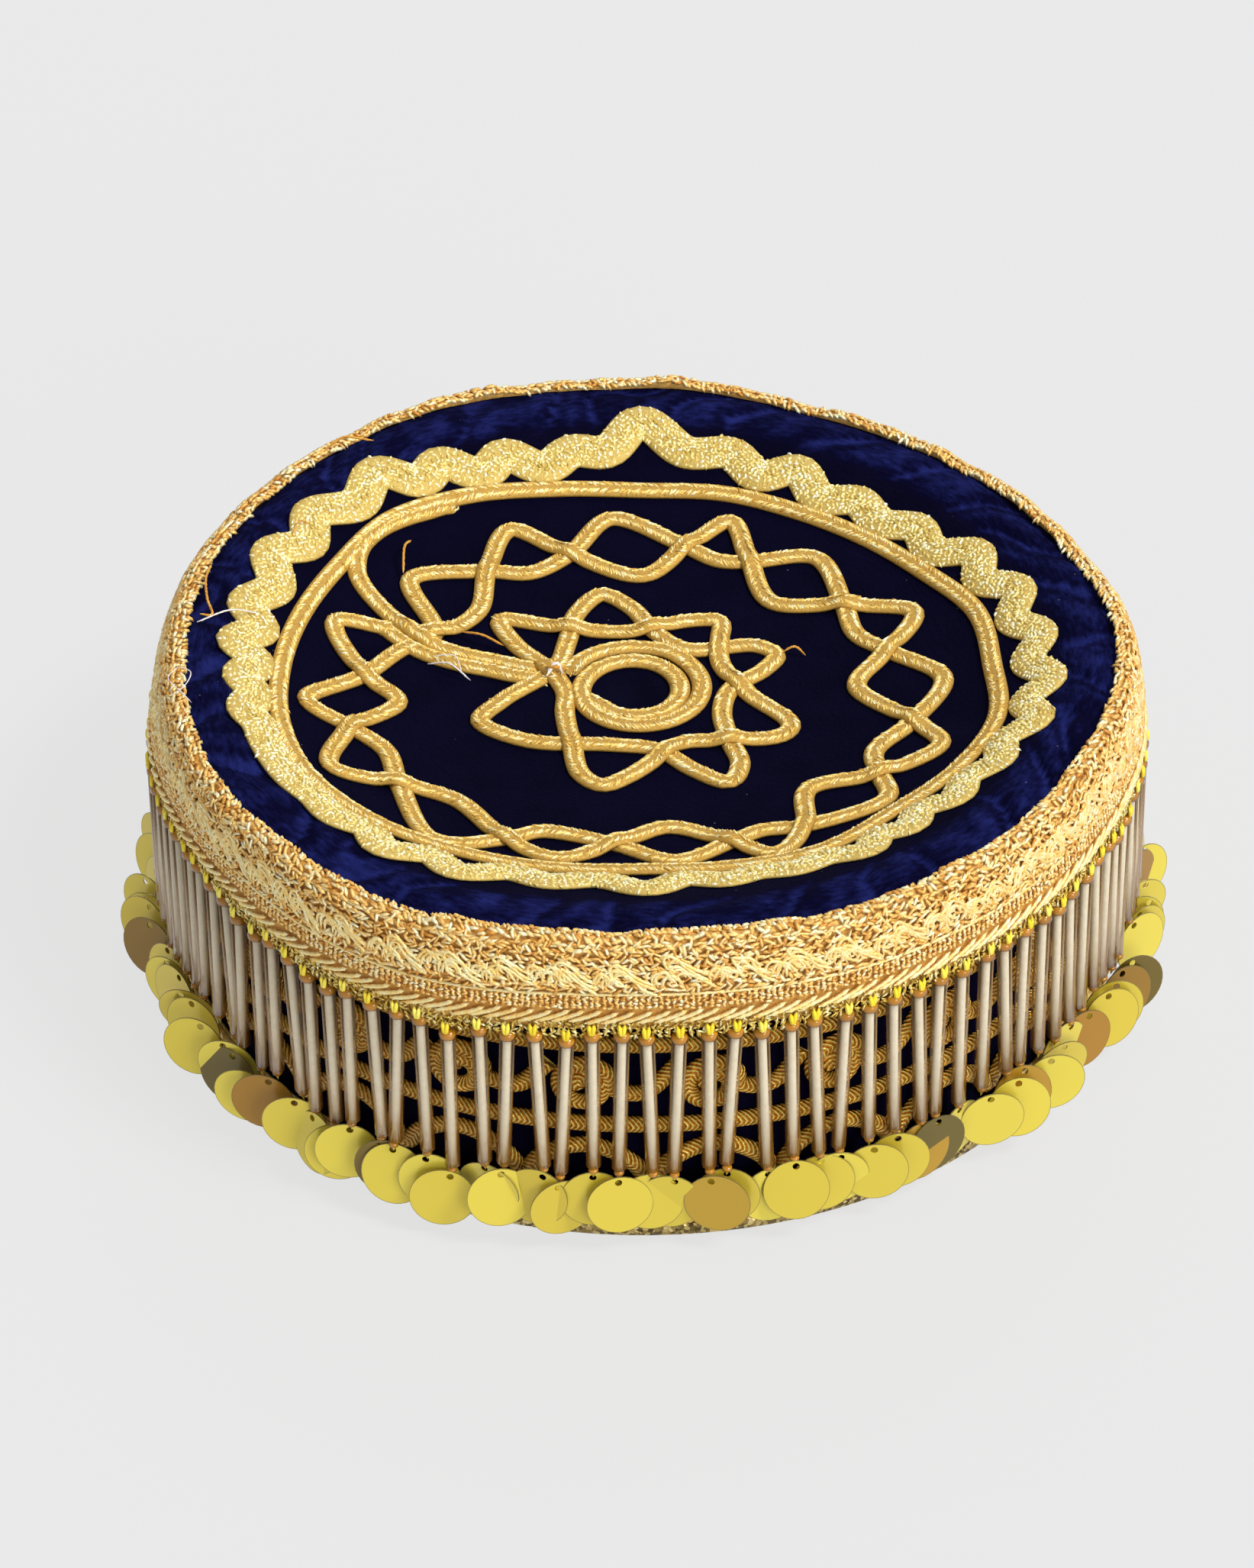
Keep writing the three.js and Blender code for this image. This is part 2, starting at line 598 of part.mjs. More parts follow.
// All strands hang from one tape, a ring with a three-sided section whose underside is as
// wide as the beads, so strands and tape are made as one skin.
function beadFringe() {
  const points = [];
  const index = [];
  const quad = (a, b, c, d) => index.push(a, b, c, a, c, d);
  const pointsPerStrand = 2 + strandSections(0).flat().length;
  for (let number = 0; number < STRAND_COUNT; number++) {
    const sections = strandSections(number);
    const base = number * pointsPerStrand;
    const [crestA, crestB] = [base, base + 1];
    const corner = (section, k) => base + 2 + 4 * section + (k % 4);
    const next = ((number + 1) % STRAND_COUNT) * pointsPerStrand;
    const [nextCrest, nextInner, nextOuter] = [next, next + 2, next + 5];
    const crest = (inner, outer) => inner.clone().lerp(outer, 0.5).setZ(inner.z + SEED_HEIGHT);
    const [innerA, innerB, outerB, outerA] = sections[0];
    points.push(crest(innerA, outerA), crest(innerB, outerB), ...sections.flat());
    quad(corner(0, 3), corner(0, 2), crestB, crestA);
    quad(corner(0, 1), corner(0, 0), crestA, crestB);
    quad(corner(0, 2), nextOuter, nextCrest, crestB);
    quad(nextInner, corner(0, 1), crestB, nextCrest);
    quad(corner(0, 1), nextInner, nextOuter, corner(0, 2));
    for (let section = 0; section < sections.length - 1; section++) {
      for (let k = 0; k < 4; k++) {
        quad(
          corner(section + 1, k + 1),
          corner(section + 1, k),
          corner(section, k),
          corner(section, k + 1),
        );
      }
    }
    const last = sections.length - 1;
    quad(corner(last, 0), corner(last, 1), corner(last, 2), corner(last, 3));
  }
  return solidOf(points, index);
}

// Materials

const VELVET = new THREE.MeshStandardMaterial({ color: 0x14165a, roughness: 0.95 });
const LINING = new THREE.MeshStandardMaterial({ color: 0x10123f, roughness: 0.9 });
const GOLD_CORD = new THREE.MeshStandardMaterial({
  color: 0xd9a93e,
  metalness: 0.55,
  roughness: 0.5,
});
const GOLD_BRAID = new THREE.MeshStandardMaterial({
  color: 0xc99a5c,
  metalness: 0.5,
  roughness: 0.55,
});
const BEADS = new THREE.MeshStandardMaterial({
  color: 0xcdbb92,
  metalness: 0.3,
  roughness: 0.25,
});

function meshOf(name, solid, material) {
  const { vertProperties, triVerts } = solid.getMesh();
  const geometry = new THREE.BufferGeometry();
  geometry.setAttribute("position", new THREE.BufferAttribute(vertProperties, 3));
  geometry.setIndex(new THREE.BufferAttribute(triVerts, 1));
  geometry.computeVertexNormals();
  const mesh = new THREE.Mesh(geometry, material);
  mesh.name = name;
  return mesh;
}

// The cap, put together

const star = starCord(0);
const link = cutClear(linkCord(0), [starCord(SEAM_GAP)]);
const chain = cutClear(chainCord(0), [starCord(SEAM_GAP), linkCord(SEAM_GAP)]);
const ring = cutClear(ringCord(), [linkCord(SEAM_GAP), chainCord(SEAM_GAP)]);

const cap = new THREE.Group();
cap.add(
  meshOf("crown_top", crownTop(), VELVET),
  meshOf("side_band", sideBand(), VELVET.clone()),
  meshOf("rim_binding", rimBinding(), LINING),
  meshOf("edge_braid", edgeBraid(), GOLD_BRAID),
  meshOf("hem_braid", hemBraid(), GOLD_BRAID.clone()),
  meshOf("upper_side_cord", sideCord(UPPER_CORD_HEIGHT), GOLD_CORD),
  meshOf("lower_side_cord", sideCord(LOWER_CORD_HEIGHT), GOLD_CORD.clone()),
  meshOf("star_cord", star, GOLD_CORD.clone()),
  meshOf("link_cord", link, GOLD_CORD.clone()),
  meshOf("chain_cord", chain, GOLD_CORD.clone()),
  meshOf("ring_cord", ring, GOLD_CORD.clone()),
  meshOf("scallop_braid", scallopBraid(), GOLD_BRAID.clone()),
  meshOf("bead_fringe", beadFringe(), BEADS),
);

export default cap;
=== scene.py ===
import math
from collections import namedtuple

import bmesh
import bpy
import numpy as np
from mathutils import Matrix, Vector, noise


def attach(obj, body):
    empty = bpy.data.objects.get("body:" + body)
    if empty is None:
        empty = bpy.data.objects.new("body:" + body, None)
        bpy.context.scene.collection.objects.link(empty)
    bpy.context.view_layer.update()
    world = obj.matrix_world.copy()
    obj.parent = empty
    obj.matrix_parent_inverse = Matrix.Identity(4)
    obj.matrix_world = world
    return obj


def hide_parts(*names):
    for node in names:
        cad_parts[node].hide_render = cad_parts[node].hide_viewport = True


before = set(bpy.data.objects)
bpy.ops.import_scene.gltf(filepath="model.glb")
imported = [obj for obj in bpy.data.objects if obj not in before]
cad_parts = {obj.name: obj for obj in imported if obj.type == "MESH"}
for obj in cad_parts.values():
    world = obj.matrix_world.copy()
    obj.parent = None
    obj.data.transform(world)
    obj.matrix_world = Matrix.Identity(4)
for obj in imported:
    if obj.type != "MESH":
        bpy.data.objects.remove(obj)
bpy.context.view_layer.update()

# The velvet top
# Navy cotton velvet over stiffening. It has sunk in the middle, where the cords are sewn
# through it, and it is gathered along its rolled margin. It is one closed skin of rings.

MM = 0.001
TOP_RADIUS = 86.0
EDGE_HEIGHT = 66.0
EDGE_LIFT = 1.0
DISH_DEPTH = 8.5
TOP_THICKNESS = 3.0
TOP_SIDES = 360
GATHER_DEPTH = 1.0
GATHER_LENGTH = 17.0
DRIFT_SIZE = 14.0
CREASE_SIZE = 2.6
NAP_SIZE = 8.0
NAP_WAVE = 0.12
EDGE_ROLL = 0.5

# The cap's shape every 30 degrees round from +X: the velvet edge's radius in percent of
# TOP_RADIUS, its height as a share of EDGE_LIFT, and how far the edge braid stands off.
OUTLINE = {
    "reach": [101.3, 98.3, 98.0, 100.2, 101.5, 100.0, 98.3, 100.0, 101.0, 98.8, 100.0, 99.5],
    "lift": [0.0, -0.7, -1.0, 0.3, 1.1, 0.4, 0.0, 0.0, -0.6, 0.5, 0.0, 0.0],
    "flare": [0.8, 0.9, 0.9, 0.7, 1.2, 1.9, 1.3, 0.45, 0.8, 0.45, 0.45, 0.75],
}
# The top's section, from the middle to the edge, with its rise as a share of DISH_DEPTH.
DISH = {
    "at": [0.0, 0.35, 0.61, 0.70, 0.78, 0.86, 0.92, 0.965, 1.0],
    "rise": [-1.0, -0.965, -0.76, -0.60, -0.335, -0.03, 0.13, 0.13, 0.0],
}


def around(angle, column):
    """The outline's value at angles in radians, eased from one row to the next."""
    values = np.array(OUTLINE[column])
    turn = (np.asarray(angle, float) / (2 * np.pi) * len(values)) % len(values)
    row = np.floor(turn).astype(int) % len(values)
    ease = turn - np.floor(turn)
    ease = ease * ease * (3 - 2 * ease)
    return values[row] + (values[(row + 1) % len(values)] - values[row]) * ease


def edge_radius(angle):
    return TOP_RADIUS * around(angle, "reach") / 100


def edge_height(angle):
    return EDGE_HEIGHT + EDGE_LIFT * around(angle, "lift")


def rounded(at, value, share, blur=0.03):
    """A table's value at a share from 0 to 1, with its corners rounded off."""
    offsets = np.linspace(-blur, blur, 7)
    return sum(np.interp(np.clip(share + o, 0, 1), at, value) for o in offsets) / len(offsets)


def top_height(x, y):
    angle = np.arctan2(y, x)
    share = np.hypot(x, y) / edge_radius(angle)
    rise = rounded(DISH["at"], DISH["rise"], share)
    return EDGE_HEIGHT + DISH_DEPTH * rise + EDGE_LIFT * around(angle, "lift") * share**6


def smooth_step(value, low, high):
    t = np.clip((value - low) / (high - low), 0, 1)
    return t * t * (3 - 2 * t)


def uneven(points, size):
    """Smooth noise from -1 to 1 at points, with bumps of about that size."""
    return np.array([noise.noise(Vector(p)) for p in np.asarray(points) / size])


class Value:
    """A number in a shader. Arithmetic on it adds Math nodes."""

    def __init__(self, finish, socket):
        self.finish = finish
        self.socket = socket

    def math(self, operation, *others):
        inputs = dict(enumerate((self, *others)))
        return self.finish.value("ShaderNodeMath", {"operation": operation}, inputs)

    def __add__(self, other):
        return self.math("ADD", other)

    def __sub__(self, other):
        return self.math("SUBTRACT", other)

    def __rsub__(self, other):
        return self.finish.value("ShaderNodeMath", {"operation": "SUBTRACT"}, {0: other, 1: self})

    def __mul__(self, other):
        return self.math("MULTIPLY", other)

    def __truediv__(self, other):
        return self.math("DIVIDE", other)

    __radd__ = __add__
    __rmul__ = __mul__


class Finish:
    """One material's nodes, round a Principled shader with the given constants."""

    def __init__(self, name, constants):
        self.material = bpy.data.materials.new(name)
        self.material.use_nodes = True
        self.tree = self.material.node_tree
        self.tree.nodes.clear()
        self.shader = self.node("ShaderNodeBsdfPrincipled", inputs=constants)
        self.node("ShaderNodeOutputMaterial", inputs={"Surface": self.shader.outputs[0]})

    def node(self, kind, settings=None, inputs=None):
        """Adds a node: its settings first, with a ramp's stops among them, then its inputs."""
        node = self.tree.nodes.new(kind)
        for key, setting in (settings or {}).items():
            if key == "stops":
                self.set_stops(node.color_ramp, setting)
            else:
                setattr(node, key, setting)
        for key, value in (inputs or {}).items():
            self.feed(node.inputs[key], value)
        return node

    def set_stops(self, ramp, stops):
        while len(ramp.elements) < len(stops):
            ramp.elements.new(0.5)
        for element, (place, colour) in zip(ramp.elements, stops):
            element.position = place
            element.color = (*colour, 1)

    def feed(self, socket, value):
        value = value.socket if isinstance(value, Value) else value
        if isinstance(value, bpy.types.NodeSocket):
            self.tree.links.new(value, socket)
        elif socket.type == "RGBA":
            socket.default_value = (*value, 1)
        else:
            socket.default_value = value

    def value(self, kind, settings=None, inputs=None, output=0):
        return Value(self, self.node(kind, settings, inputs).outputs[output])

    def place(self):
        """The place on the cap, in millimetres."""
        here = self.node("ShaderNodeTexCoord").outputs["Object"]
        scaled = {"Vector": here, "Scale": 1 / MM}
        return self.node("ShaderNodeVectorMath", {"operation": "SCALE"}, scaled).outputs[0]

    def axes(self, vector):
        parts = self.node("ShaderNodeSeparateXYZ", inputs={"Vector": vector})
        return [Value(self, parts.outputs[k]) for k in range(3)]

    def vector(self, x, y, z):
        return self.node("ShaderNodeCombineXYZ", inputs={"X": x, "Y": y, "Z": z}).outputs[0]

    def grain(self, vector, size, detail=2.0):
        """Noise from 0 to 1 with grains of about that size."""
        inputs = {"Vector": vector, "Scale": 1 / size, "Detail": detail}
        return self.value("ShaderNodeTexNoise", inputs=inputs)

    def between(self, value, low, high):
        """0 below low, 1 above high and a smooth step between them."""
        inputs = {"Value": value, "From Min": low, "From Max": high}
        return self.value("ShaderNodeMapRange", {"interpolation_type": "SMOOTHSTEP"}, inputs)

    def mix(self, factor, first, second):
        inputs = {0: factor, 6: first, 7: second}
        return self.node("ShaderNodeMix", {"data_type": "RGBA"}, inputs).outputs[2]

    def ramp(self, value, stops):
        return self.node("ShaderNodeValToRGB", {"stops": stops}, {"Fac": value}).outputs["Color"]

    def cells(self, vector, size):
        """The outputs of a pattern of cells of about that size."""
        inputs = {"Vector": vector, "Scale": 1 / size}
        return self.node("ShaderNodeTexVoronoi", inputs=inputs).outputs

    def marked(self, label):
        """The number that the mesh's points have under a label."""
        return self.value("ShaderNodeAttribute", {"attribute_name": label}, output="Fac")

    def bump(self, height, depth):
        """A normal with relief that deep, in millimetres, from a height of 0 to 1."""
        inputs = {"Height": height, "Distance": depth * MM, "Strength": 1.0}
        return self.node("ShaderNodeBump", inputs=inputs).outputs[0]

    def wear(self, **sockets):
        """Feeds the shader's sockets, which are named with _ for a space."""
        for name, value in sockets.items():
            self.feed(self.shader.inputs[name.replace("_", " ")], value)
        return self.material


def velvet_finish():
    """Short dense pile: nearly black where it is flat, with painted blue highlight streaks where a
    gather crests and crushes it.
    """
    dull = {"Roughness": 0.9, "Specular IOR Level": 0.02}
    pile = Finish("velvet", {**dull, "Sheen Weight": 0.02, "Sheen Roughness": 0.3})
    pile.feed(pile.shader.inputs["Sheen Tint"], (0.25, 0.35, 1.0))
    here = pile.place()
    x, y, z = pile.axes(here)
    radius = (x * x + y * y).math("SQRT")
    girth = y.math("ARCTAN2", x) * TOP_RADIUS
    crush = pile.grain(pile.vector(girth / 2.6, radius, z), 0.9, 3.0)
    patch = pile.grain(here, 9.0, 2.0)
    crest = pile.marked("crest")
    # Painted highlight: near the gathers' crests the pile is painted bright blue in streaks, where
    # the sheen would light it.
    lit = pile.between(crush * 0.5 + patch * 0.45 + crest * 0.35, 0.5, 1.05)
    flat = pile.mix(patch, (0.0012, 0.0009, 0.0070), (0.0030, 0.0024, 0.0150))
    crest_highlight = pile.mix(lit, (0.0018, 0.0016, 0.017), (0.015, 0.021, 0.14))
    colour = pile.mix(pile.between(crest, 0.0, 0.35), flat, crest_highlight)
    speck = pile.cells(here, 3.1)
    rare = pile.between(pile.axes(speck["Color"])[0], 0.80, 0.82)
    fluff = (1 - pile.between(Value(pile, speck["Distance"]), 0.03, 0.06)) * rare
    colour = pile.mix(fluff * 0.35, colour, (0.35, 0.33, 0.38))
    nap = pile.grain(here, 0.32, 1.0)
    return pile.wear(Base_Color=colour, Normal=pile.bump(nap * 0.5 + crush * 0.9, 0.45))


def lining_finish():
    """Plain dark cotton inside the cap, with its weave as relief."""
    cloth = Finish("lining", {"Roughness": 0.95, "Specular IOR Level": 0.15})
    here = cloth.place()
    x, y, z = cloth.axes(here)
    warp = ((x + y) * 7.0).math("SINE")
    weft = ((x - y + z) * 7.0).math("SINE")
    threads = 0.25 * warp + 0.25 * weft + 0.5
    lit = threads * cloth.grain(here, 6.0)
    colour = cloth.mix(lit, (0.006, 0.007, 0.022), (0.020, 0.022, 0.060))
    return cloth.wear(Base_Color=colour, Normal=cloth.bump(threads, 0.15))


VELVET = velvet_finish()
LINING = lining_finish()


def placed(name, data):
    thing = bpy.data.objects.new(name, data)
    bpy.context.scene.collection.objects.link(thing)
    return thing


def marks(mesh, label, values):
    """Gives each of a mesh's points a number that a finish can read."""
    row = mesh.attributes.new(label, "FLOAT", "POINT")
    row.data.foreach_set("value", np.asarray(values, np.float32).ravel())


def lofted(name, lofts, finish, step=1.0):
    """One mesh of tubes and rings. Each loft is (sections, is_loop), and the piece's UV map
    has the distance along, where step is from one section to the next, and the share round."""
    points, faces, chart, count = [], [], [], 0
    for sections, is_loop in lofts:
        rows, columns = sections.shape[:2]
        row, column = np.meshgrid(
            np.arange(rows if is_loop else rows - 1), np.arange(columns), indexing="ij"
        )
        row, column = row.ravel(), column.ravel()
        corners = [(row, column), (row + 1, column), (row + 1, column + 1), (row, column + 1)]
        quads = np.stack([(r % rows) * columns + c % columns for r, c in corners], -1)
        uv = np.stack([np.stack([r * step, c / columns], -1) for r, c in corners], 1)
        flat = sections.reshape(-1, 3)
        near = flat - flat.mean(0)
        a, b, c, d = (near[quads[:, k]] for k in range(4))
        inside_out = (np.cross(b - a, c - a) * a).sum() + (np.cross(c - a, d - a) * a).sum() < 0
        first_ring = np.arange(columns)
        caps = [] if is_loop else [first_ring[::-1], (rows - 1) * columns + first_ring]
        if inside_out:
            quads, uv = quads[:, ::-1], uv[:, ::-1]
            caps = [cap[::-1] for cap in caps]
        points.append(flat)
        faces += (quads + count).tolist() + [(cap + count).tolist() for cap in caps]
        chart.append(uv.reshape(-1, 2))
        chart += [np.zeros((len(cap), 2)) for cap in caps]
        count += len(flat)
    mesh = bpy.data.meshes.new(name)
    mesh.from_pydata((np.vstack(points) * MM).tolist(), [], faces)
    layer = mesh.uv_layers.new(name="UVMap")
    layer.data.foreach_set("uv", np.vstack(chart).astype(np.float32).ravel())
    mesh.shade_smooth()
    mesh.materials.append(finish)
    return placed(name, mesh)


def weld(piece):
    """Makes one point of those that coincide."""
    work = bmesh.new()
    work.from_mesh(piece.data)
    bmesh.ops.remove_doubles(work, verts=work.verts, dist=1e-6)
    work.to_mesh(piece.data)
    work.free()


def polar(radius, angle, z):
    radius, angle, z = np.broadcast_arrays(radius, angle, z)
    return np.stack([radius * np.cos(angle), radius * np.sin(angle), z], -1)


def gathers(angle, radius):
    """The gathers' height and how near a crest is, both from 0 to 1. They overlap like
    petals, since the cloth is pushed one way round as it is sewn."""
    spot = polar(radius, angle, 0)
    drift = uneven((spot + [0, 0, 40]).reshape(-1, 3), DRIFT_SIZE).reshape(spot.shape[:2])
    crease = uneven((spot + [0, 0, 90]).reshape(-1, 3), CREASE_SIZE).reshape(spot.shape[:2])
    turn = (angle * TOP_RADIUS / GATHER_LENGTH + 0.055 * (radius - TOP_RADIUS) + 0.9 * drift) % 1
    petal = np.sin(np.pi * turn**0.55)
    crest = np.exp(-(((turn - 0.93) / 0.10) ** 2)) + 0.5 * np.exp(-(((turn - 0.45) / 0.2) ** 2))
    return petal + 0.22 * crease, np.clip(crest + 0.3 * crease, 0, 1)


def velvet_top():
    shares = np.concatenate([np.linspace(1, 0.84, 34), np.linspace(0.82, 0, 40)])
    below = np.array([0, 0.3, 0.61, 0.78, 0.88, 0.96])
    angle = np.linspace(0, 2 * np.pi, TOP_SIDES, endpoint=False)[:, None]
    reach = edge_radius(angle)
    over = polar(shares * (reach + EDGE_ROLL), angle, 0)
    over[..., 2] = top_height(over[..., 0], over[..., 1])
    margin = smooth_step(shares, 0.85, 0.92) * (1 - 0.8 * smooth_step(shares, 0.975, 1.0))
    petal, crest = gathers(angle, shares * reach)
    nap = uneven(over.reshape(-1, 3), NAP_SIZE).reshape(over.shape[:2])
    over[..., 2] += GATHER_DEPTH * margin * (petal - 0.6) + NAP_WAVE * nap * (1 - margin)
    under = polar(below * reach, angle, 0)
    under[..., 2] = top_height(under[..., 0], under[..., 1]) - TOP_THICKNESS
    corner = polar(reach + EDGE_ROLL, angle, edge_height(angle) - TOP_THICKNESS)
    rows = np.concatenate([under, corner, over], 1)
    # How near each point is to a gather's crest: the velvet's finish paints its blue highlight from
    # it.
    near = np.zeros(rows.shape[:2])
    near[:, -len(shares):] = (0.25 + 0.75 * crest) * smooth_step(shares, 0.84, 0.90)
    piece = lofted("velvet_top", [(rows, True)], VELVET)
    marks(piece.data, "crest", near)
    weld(piece)
    piece.data.materials.append(LINING)
    for face in piece.data.polygons:
        face.material_index = int(face.normal.z < -0.3)
    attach(piece, "root")
    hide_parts("crown_top")


velvet_top()

# The velvet side
# A straight wall of the same velvet over stiffening, with cotton inside. It is a smooth
# ring, lined on its inner face.

RIM_RADIUS = 86.4
SIDE_THICKNESS = 2.6
BINDING_HEIGHT = 3.3
BINDING_THICKNESS = 0.9
SEAM_GAP = 0.3
SIDE_SIDES = 240


def side_radius(angle, z):
    return RIM_RADIUS + (edge_radius(angle) - RIM_RADIUS) * z / EDGE_HEIGHT


def ring(sides, section_at):
    """The sections of a ring whose section, as radii and heights, is worked out by angle."""
    angle = np.linspace(0, 2 * np.pi, sides, endpoint=False)[:, None]
    radius, z = section_at(angle)
    return polar(radius, angle, z)


def velvet_side():
    def section(angle):
        foot = BINDING_HEIGHT + SEAM_GAP
        head = edge_height(angle) - TOP_THICKNESS - SEAM_GAP
        z = foot + (head - foot) * np.linspace(0, 1, 9)
        outer = side_radius(angle, z)
        inner = outer - SIDE_THICKNESS
        return np.concatenate([outer, inner[:, ::-1]], 1), np.concatenate([z, z[:, ::-1]], 1)

    piece = lofted("velvet_side", [(ring(SIDE_SIDES, section), True)], VELVET)
    piece.data.materials.append(LINING)
    for face in piece.data.polygons:
        face.material_index = int(face.normal.dot(face.center) < 0)
    piece.data.set_sharp_from_angle(angle=math.radians(50))
    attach(piece, "root")
    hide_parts("side_band")


velvet_side()

# The rim's binding
# A tape of greenish gold glitter folded over the foot of the wall. It is a soft-cornered
# ring whose flakes are cells of tone and relief.

BINDING_CORNER = 0.6
BINDING_WAVE = 0.22


def glitter_finish(name, dark, middle, pale):
    """Metallized flakes: each cell has its own tone and tilt."""
    flakes = Finish(name, {"Metallic": 0.75, "Roughness": 0.35})
    here = flakes.place()
    cell = flakes.cells(here, 0.75)
    tone = flakes.axes(cell["Color"])[0]
    thread = flakes.grain(here, 0.5, 2.0)
    colour = flakes.ramp(0.75 * tone + 0.25 * thread, [(0.1, dark), (0.5, middle), (0.88, pale)])
    relief = tone * 0.6 + Value(flakes, cell["Distance"]) * 0.4
    return flakes.wear(Base_Color=colour, Normal=flakes.bump(relief, 0.35))


GLITTER = glitter_finish(
    "glitter_tape", (0.05, 0.035, 0.01), (0.32, 0.22, 0.06), (0.80, 0.62, 0.26)
)


def rim_tape():
    inner = RIM_RADIUS - SIDE_THICKNESS - BINDING_THICKNESS
    outer = RIM_RADIUS + BINDING_THICKNESS

    def section(angle):
        turn = np.linspace(0, 2 * np.pi, 16, endpoint=False)
        bulge = np.sign(np.cos(turn)) * np.abs(np.cos(turn)) ** BINDING_CORNER
        rise = np.sign(np.sin(turn)) * np.abs(np.sin(turn)) ** BINDING_CORNER
        wave = BINDING_WAVE * np.sin(23 * angle) * np.sin(7 * angle + 1)
        radius = (inner + outer) / 2 + (outer - inner) / 2 * bulge
        z = BINDING_HEIGHT / 2 * (1 + rise) + wave * (rise > 0)
        return radius + 0 * angle, z

    piece = lofted("rim_tape", [(ring(SIDE_SIDES, section), True)], GLITTER)
    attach(piece, "root")
    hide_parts("rim_binding")


rim_tape()

# The cords on the top
# Flat plaited cord of yellow gold thread, laid on the velvet and couched down. Each is a
# strip that follows its route, with two rows of slanted stitches set on it by a node tree.

CORD_WIDTH = 3.5
CORD_HEIGHT = 1.15
CORD_SPREAD = 1.18
CORD_LIFT = 0.25
TUCK_LENGTH = 4.0
CROSSING_RISE = 1.1
CROSSING_REACH = 2.4
STITCH_PITCH = 0.38
COIL_INNER_RADIUS = 8.2
COIL_PITCH = 4.2
COIL_TURNS = 1.9
COIL_EYE_TURNS = 0.45
GROUND_STEP = 1.1
GROUND_WIDTH = 0.92
GROUND_HEIGHT = 0.86
TUCK_DEPTH = 1.4
COLUMN_SPREAD = 0.92
COLUMN_LEAN = 0.75
CROWN_FALL = 0.55
STITCH_SINK = 0.35
STITCH_UNEVEN = 0.10

Course = namedtuple("Course", "at along across up is_loop")
Places = namedtuple("Places", "at along up stretch tone")
Stitch = namedtuple("Stitch", "columns slant length thickness stray jitter")
CORD_STITCH = Stitch(columns=2, slant=38, length=2.0, thickness=0.47, stray=0.24, jitter=0.1)


def unit_rows(rows):
    return rows / np.linalg.norm(rows, axis=-1, keepdims=True)


def along_curve(points, is_loop, step):
    """Points every step along the smooth curve through the given ones."""
    p = np.asarray(points, float)
    if is_loop:
        p = np.vstack([p[-1], p, p[:2]])
    else:
        p = np.vstack([2 * p[0] - p[1], p, 2 * p[-1] - p[-2]])
    t = np.linspace(0, 1, 24, endpoint=False)[:, None]
    spans = []
    for a, b, c, d in zip(p, p[1:], p[2:], p[3:]):
        before, here, after = (np.linalg.norm(v) ** 0.5 for v in (b - a, c - b, d - c))
        start = ((b - a) / before - (c - a) / (before + here) + (c - b) / here) * here
        end = ((c - b) / here - (d - b) / (here + after) + (d - c) / after) * here
        spans.append(
            (2 * t**3 - 3 * t**2 + 1) * b
            + (t**3 - 2 * t**2 + t) * start
            + (3 * t**2 - 2 * t**3) * c
            + (t**3 - t**2) * end
        )
    fine = np.vstack([*spans, p[-2][None]])
    length = np.concatenate([[0], np.cumsum(np.linalg.norm(np.diff(fine, axis=0), axis=1))])
    stops = np.linspace(0, length[-1], max(3, round(length[-1] / step)), endpoint=not is_loop)
    return np.column_stack([np.interp(stops, length, fine[:, k]) for k in range(fine.shape[1])])


def course(at, up, is_loop):
    """A route on a surface, with the directions along it, across it and up from it."""
    ahead = np.roll(at, -1, 0) - np.roll(at, 1, 0) if is_loop else np.gradient(at, axis=0)
    along = unit_rows(ahead - (ahead * up).sum(-1, keepdims=True) * up)
    return Course(at, along, np.cross(up, along), up, is_loop)


def on_top(plan, is_loop, step, over=()):
    """A route on the velvet top from points x, y. It rises where it crosses the plan of any
    route that it runs over, and its ends are tucked in."""
    x, y = along_curve(plan, is_loop, step).T
    reach = 0.5
    slope_x = (top_height(x + reach, y) - top_height(x - reach, y)) / (2 * reach)
    slope_y = (top_height(x, y + reach) - top_height(x, y - reach)) / (2 * reach)
    up = unit_rows(np.stack([-slope_x, -slope_y, np.ones_like(x)], -1))
    lying = top_height(x, y) + CORD_LIFT
    z = lying
    for other in over:
        ox, oy = along_curve(*other, 1.0).T
        gap = np.sqrt(((x[:, None] - ox) ** 2 + (y[:, None] - oy) ** 2).min(1))
        z = np.maximum(z, lying + CROSSING_RISE * np.exp(-((gap / CROSSING_REACH) ** 2)))
    if not is_loop:
        from_end = np.minimum(np.arange(len(x)), np.arange(len(x))[::-1]) * step
        z = z - TUCK_DEPTH * CORD_HEIGHT * np.clip(1 - from_end / TUCK_LENGTH, 0, 1) ** 2
    return course(np.stack([x, y, z], -1), up, is_loop)


# Half a flat cord's section, as shares of half its width and of its height.
HALF_STRIP = [(-1, 0), (-0.97, 0.4), (-0.75, 0.78), (-0.35, 0.98)]
STRIP = np.array(HALF_STRIP + [(-x, z) for x, z in HALF_STRIP[::-1]])


def strip(route, width, height):
    """The sections of a flat cord with rounded edges."""
    across = route.across[:, None] * (STRIP[:, :1] * width / 2)
    return route.at[:, None] + across + route.up[:, None] * (STRIP[:, 1:] * height), route.is_loop


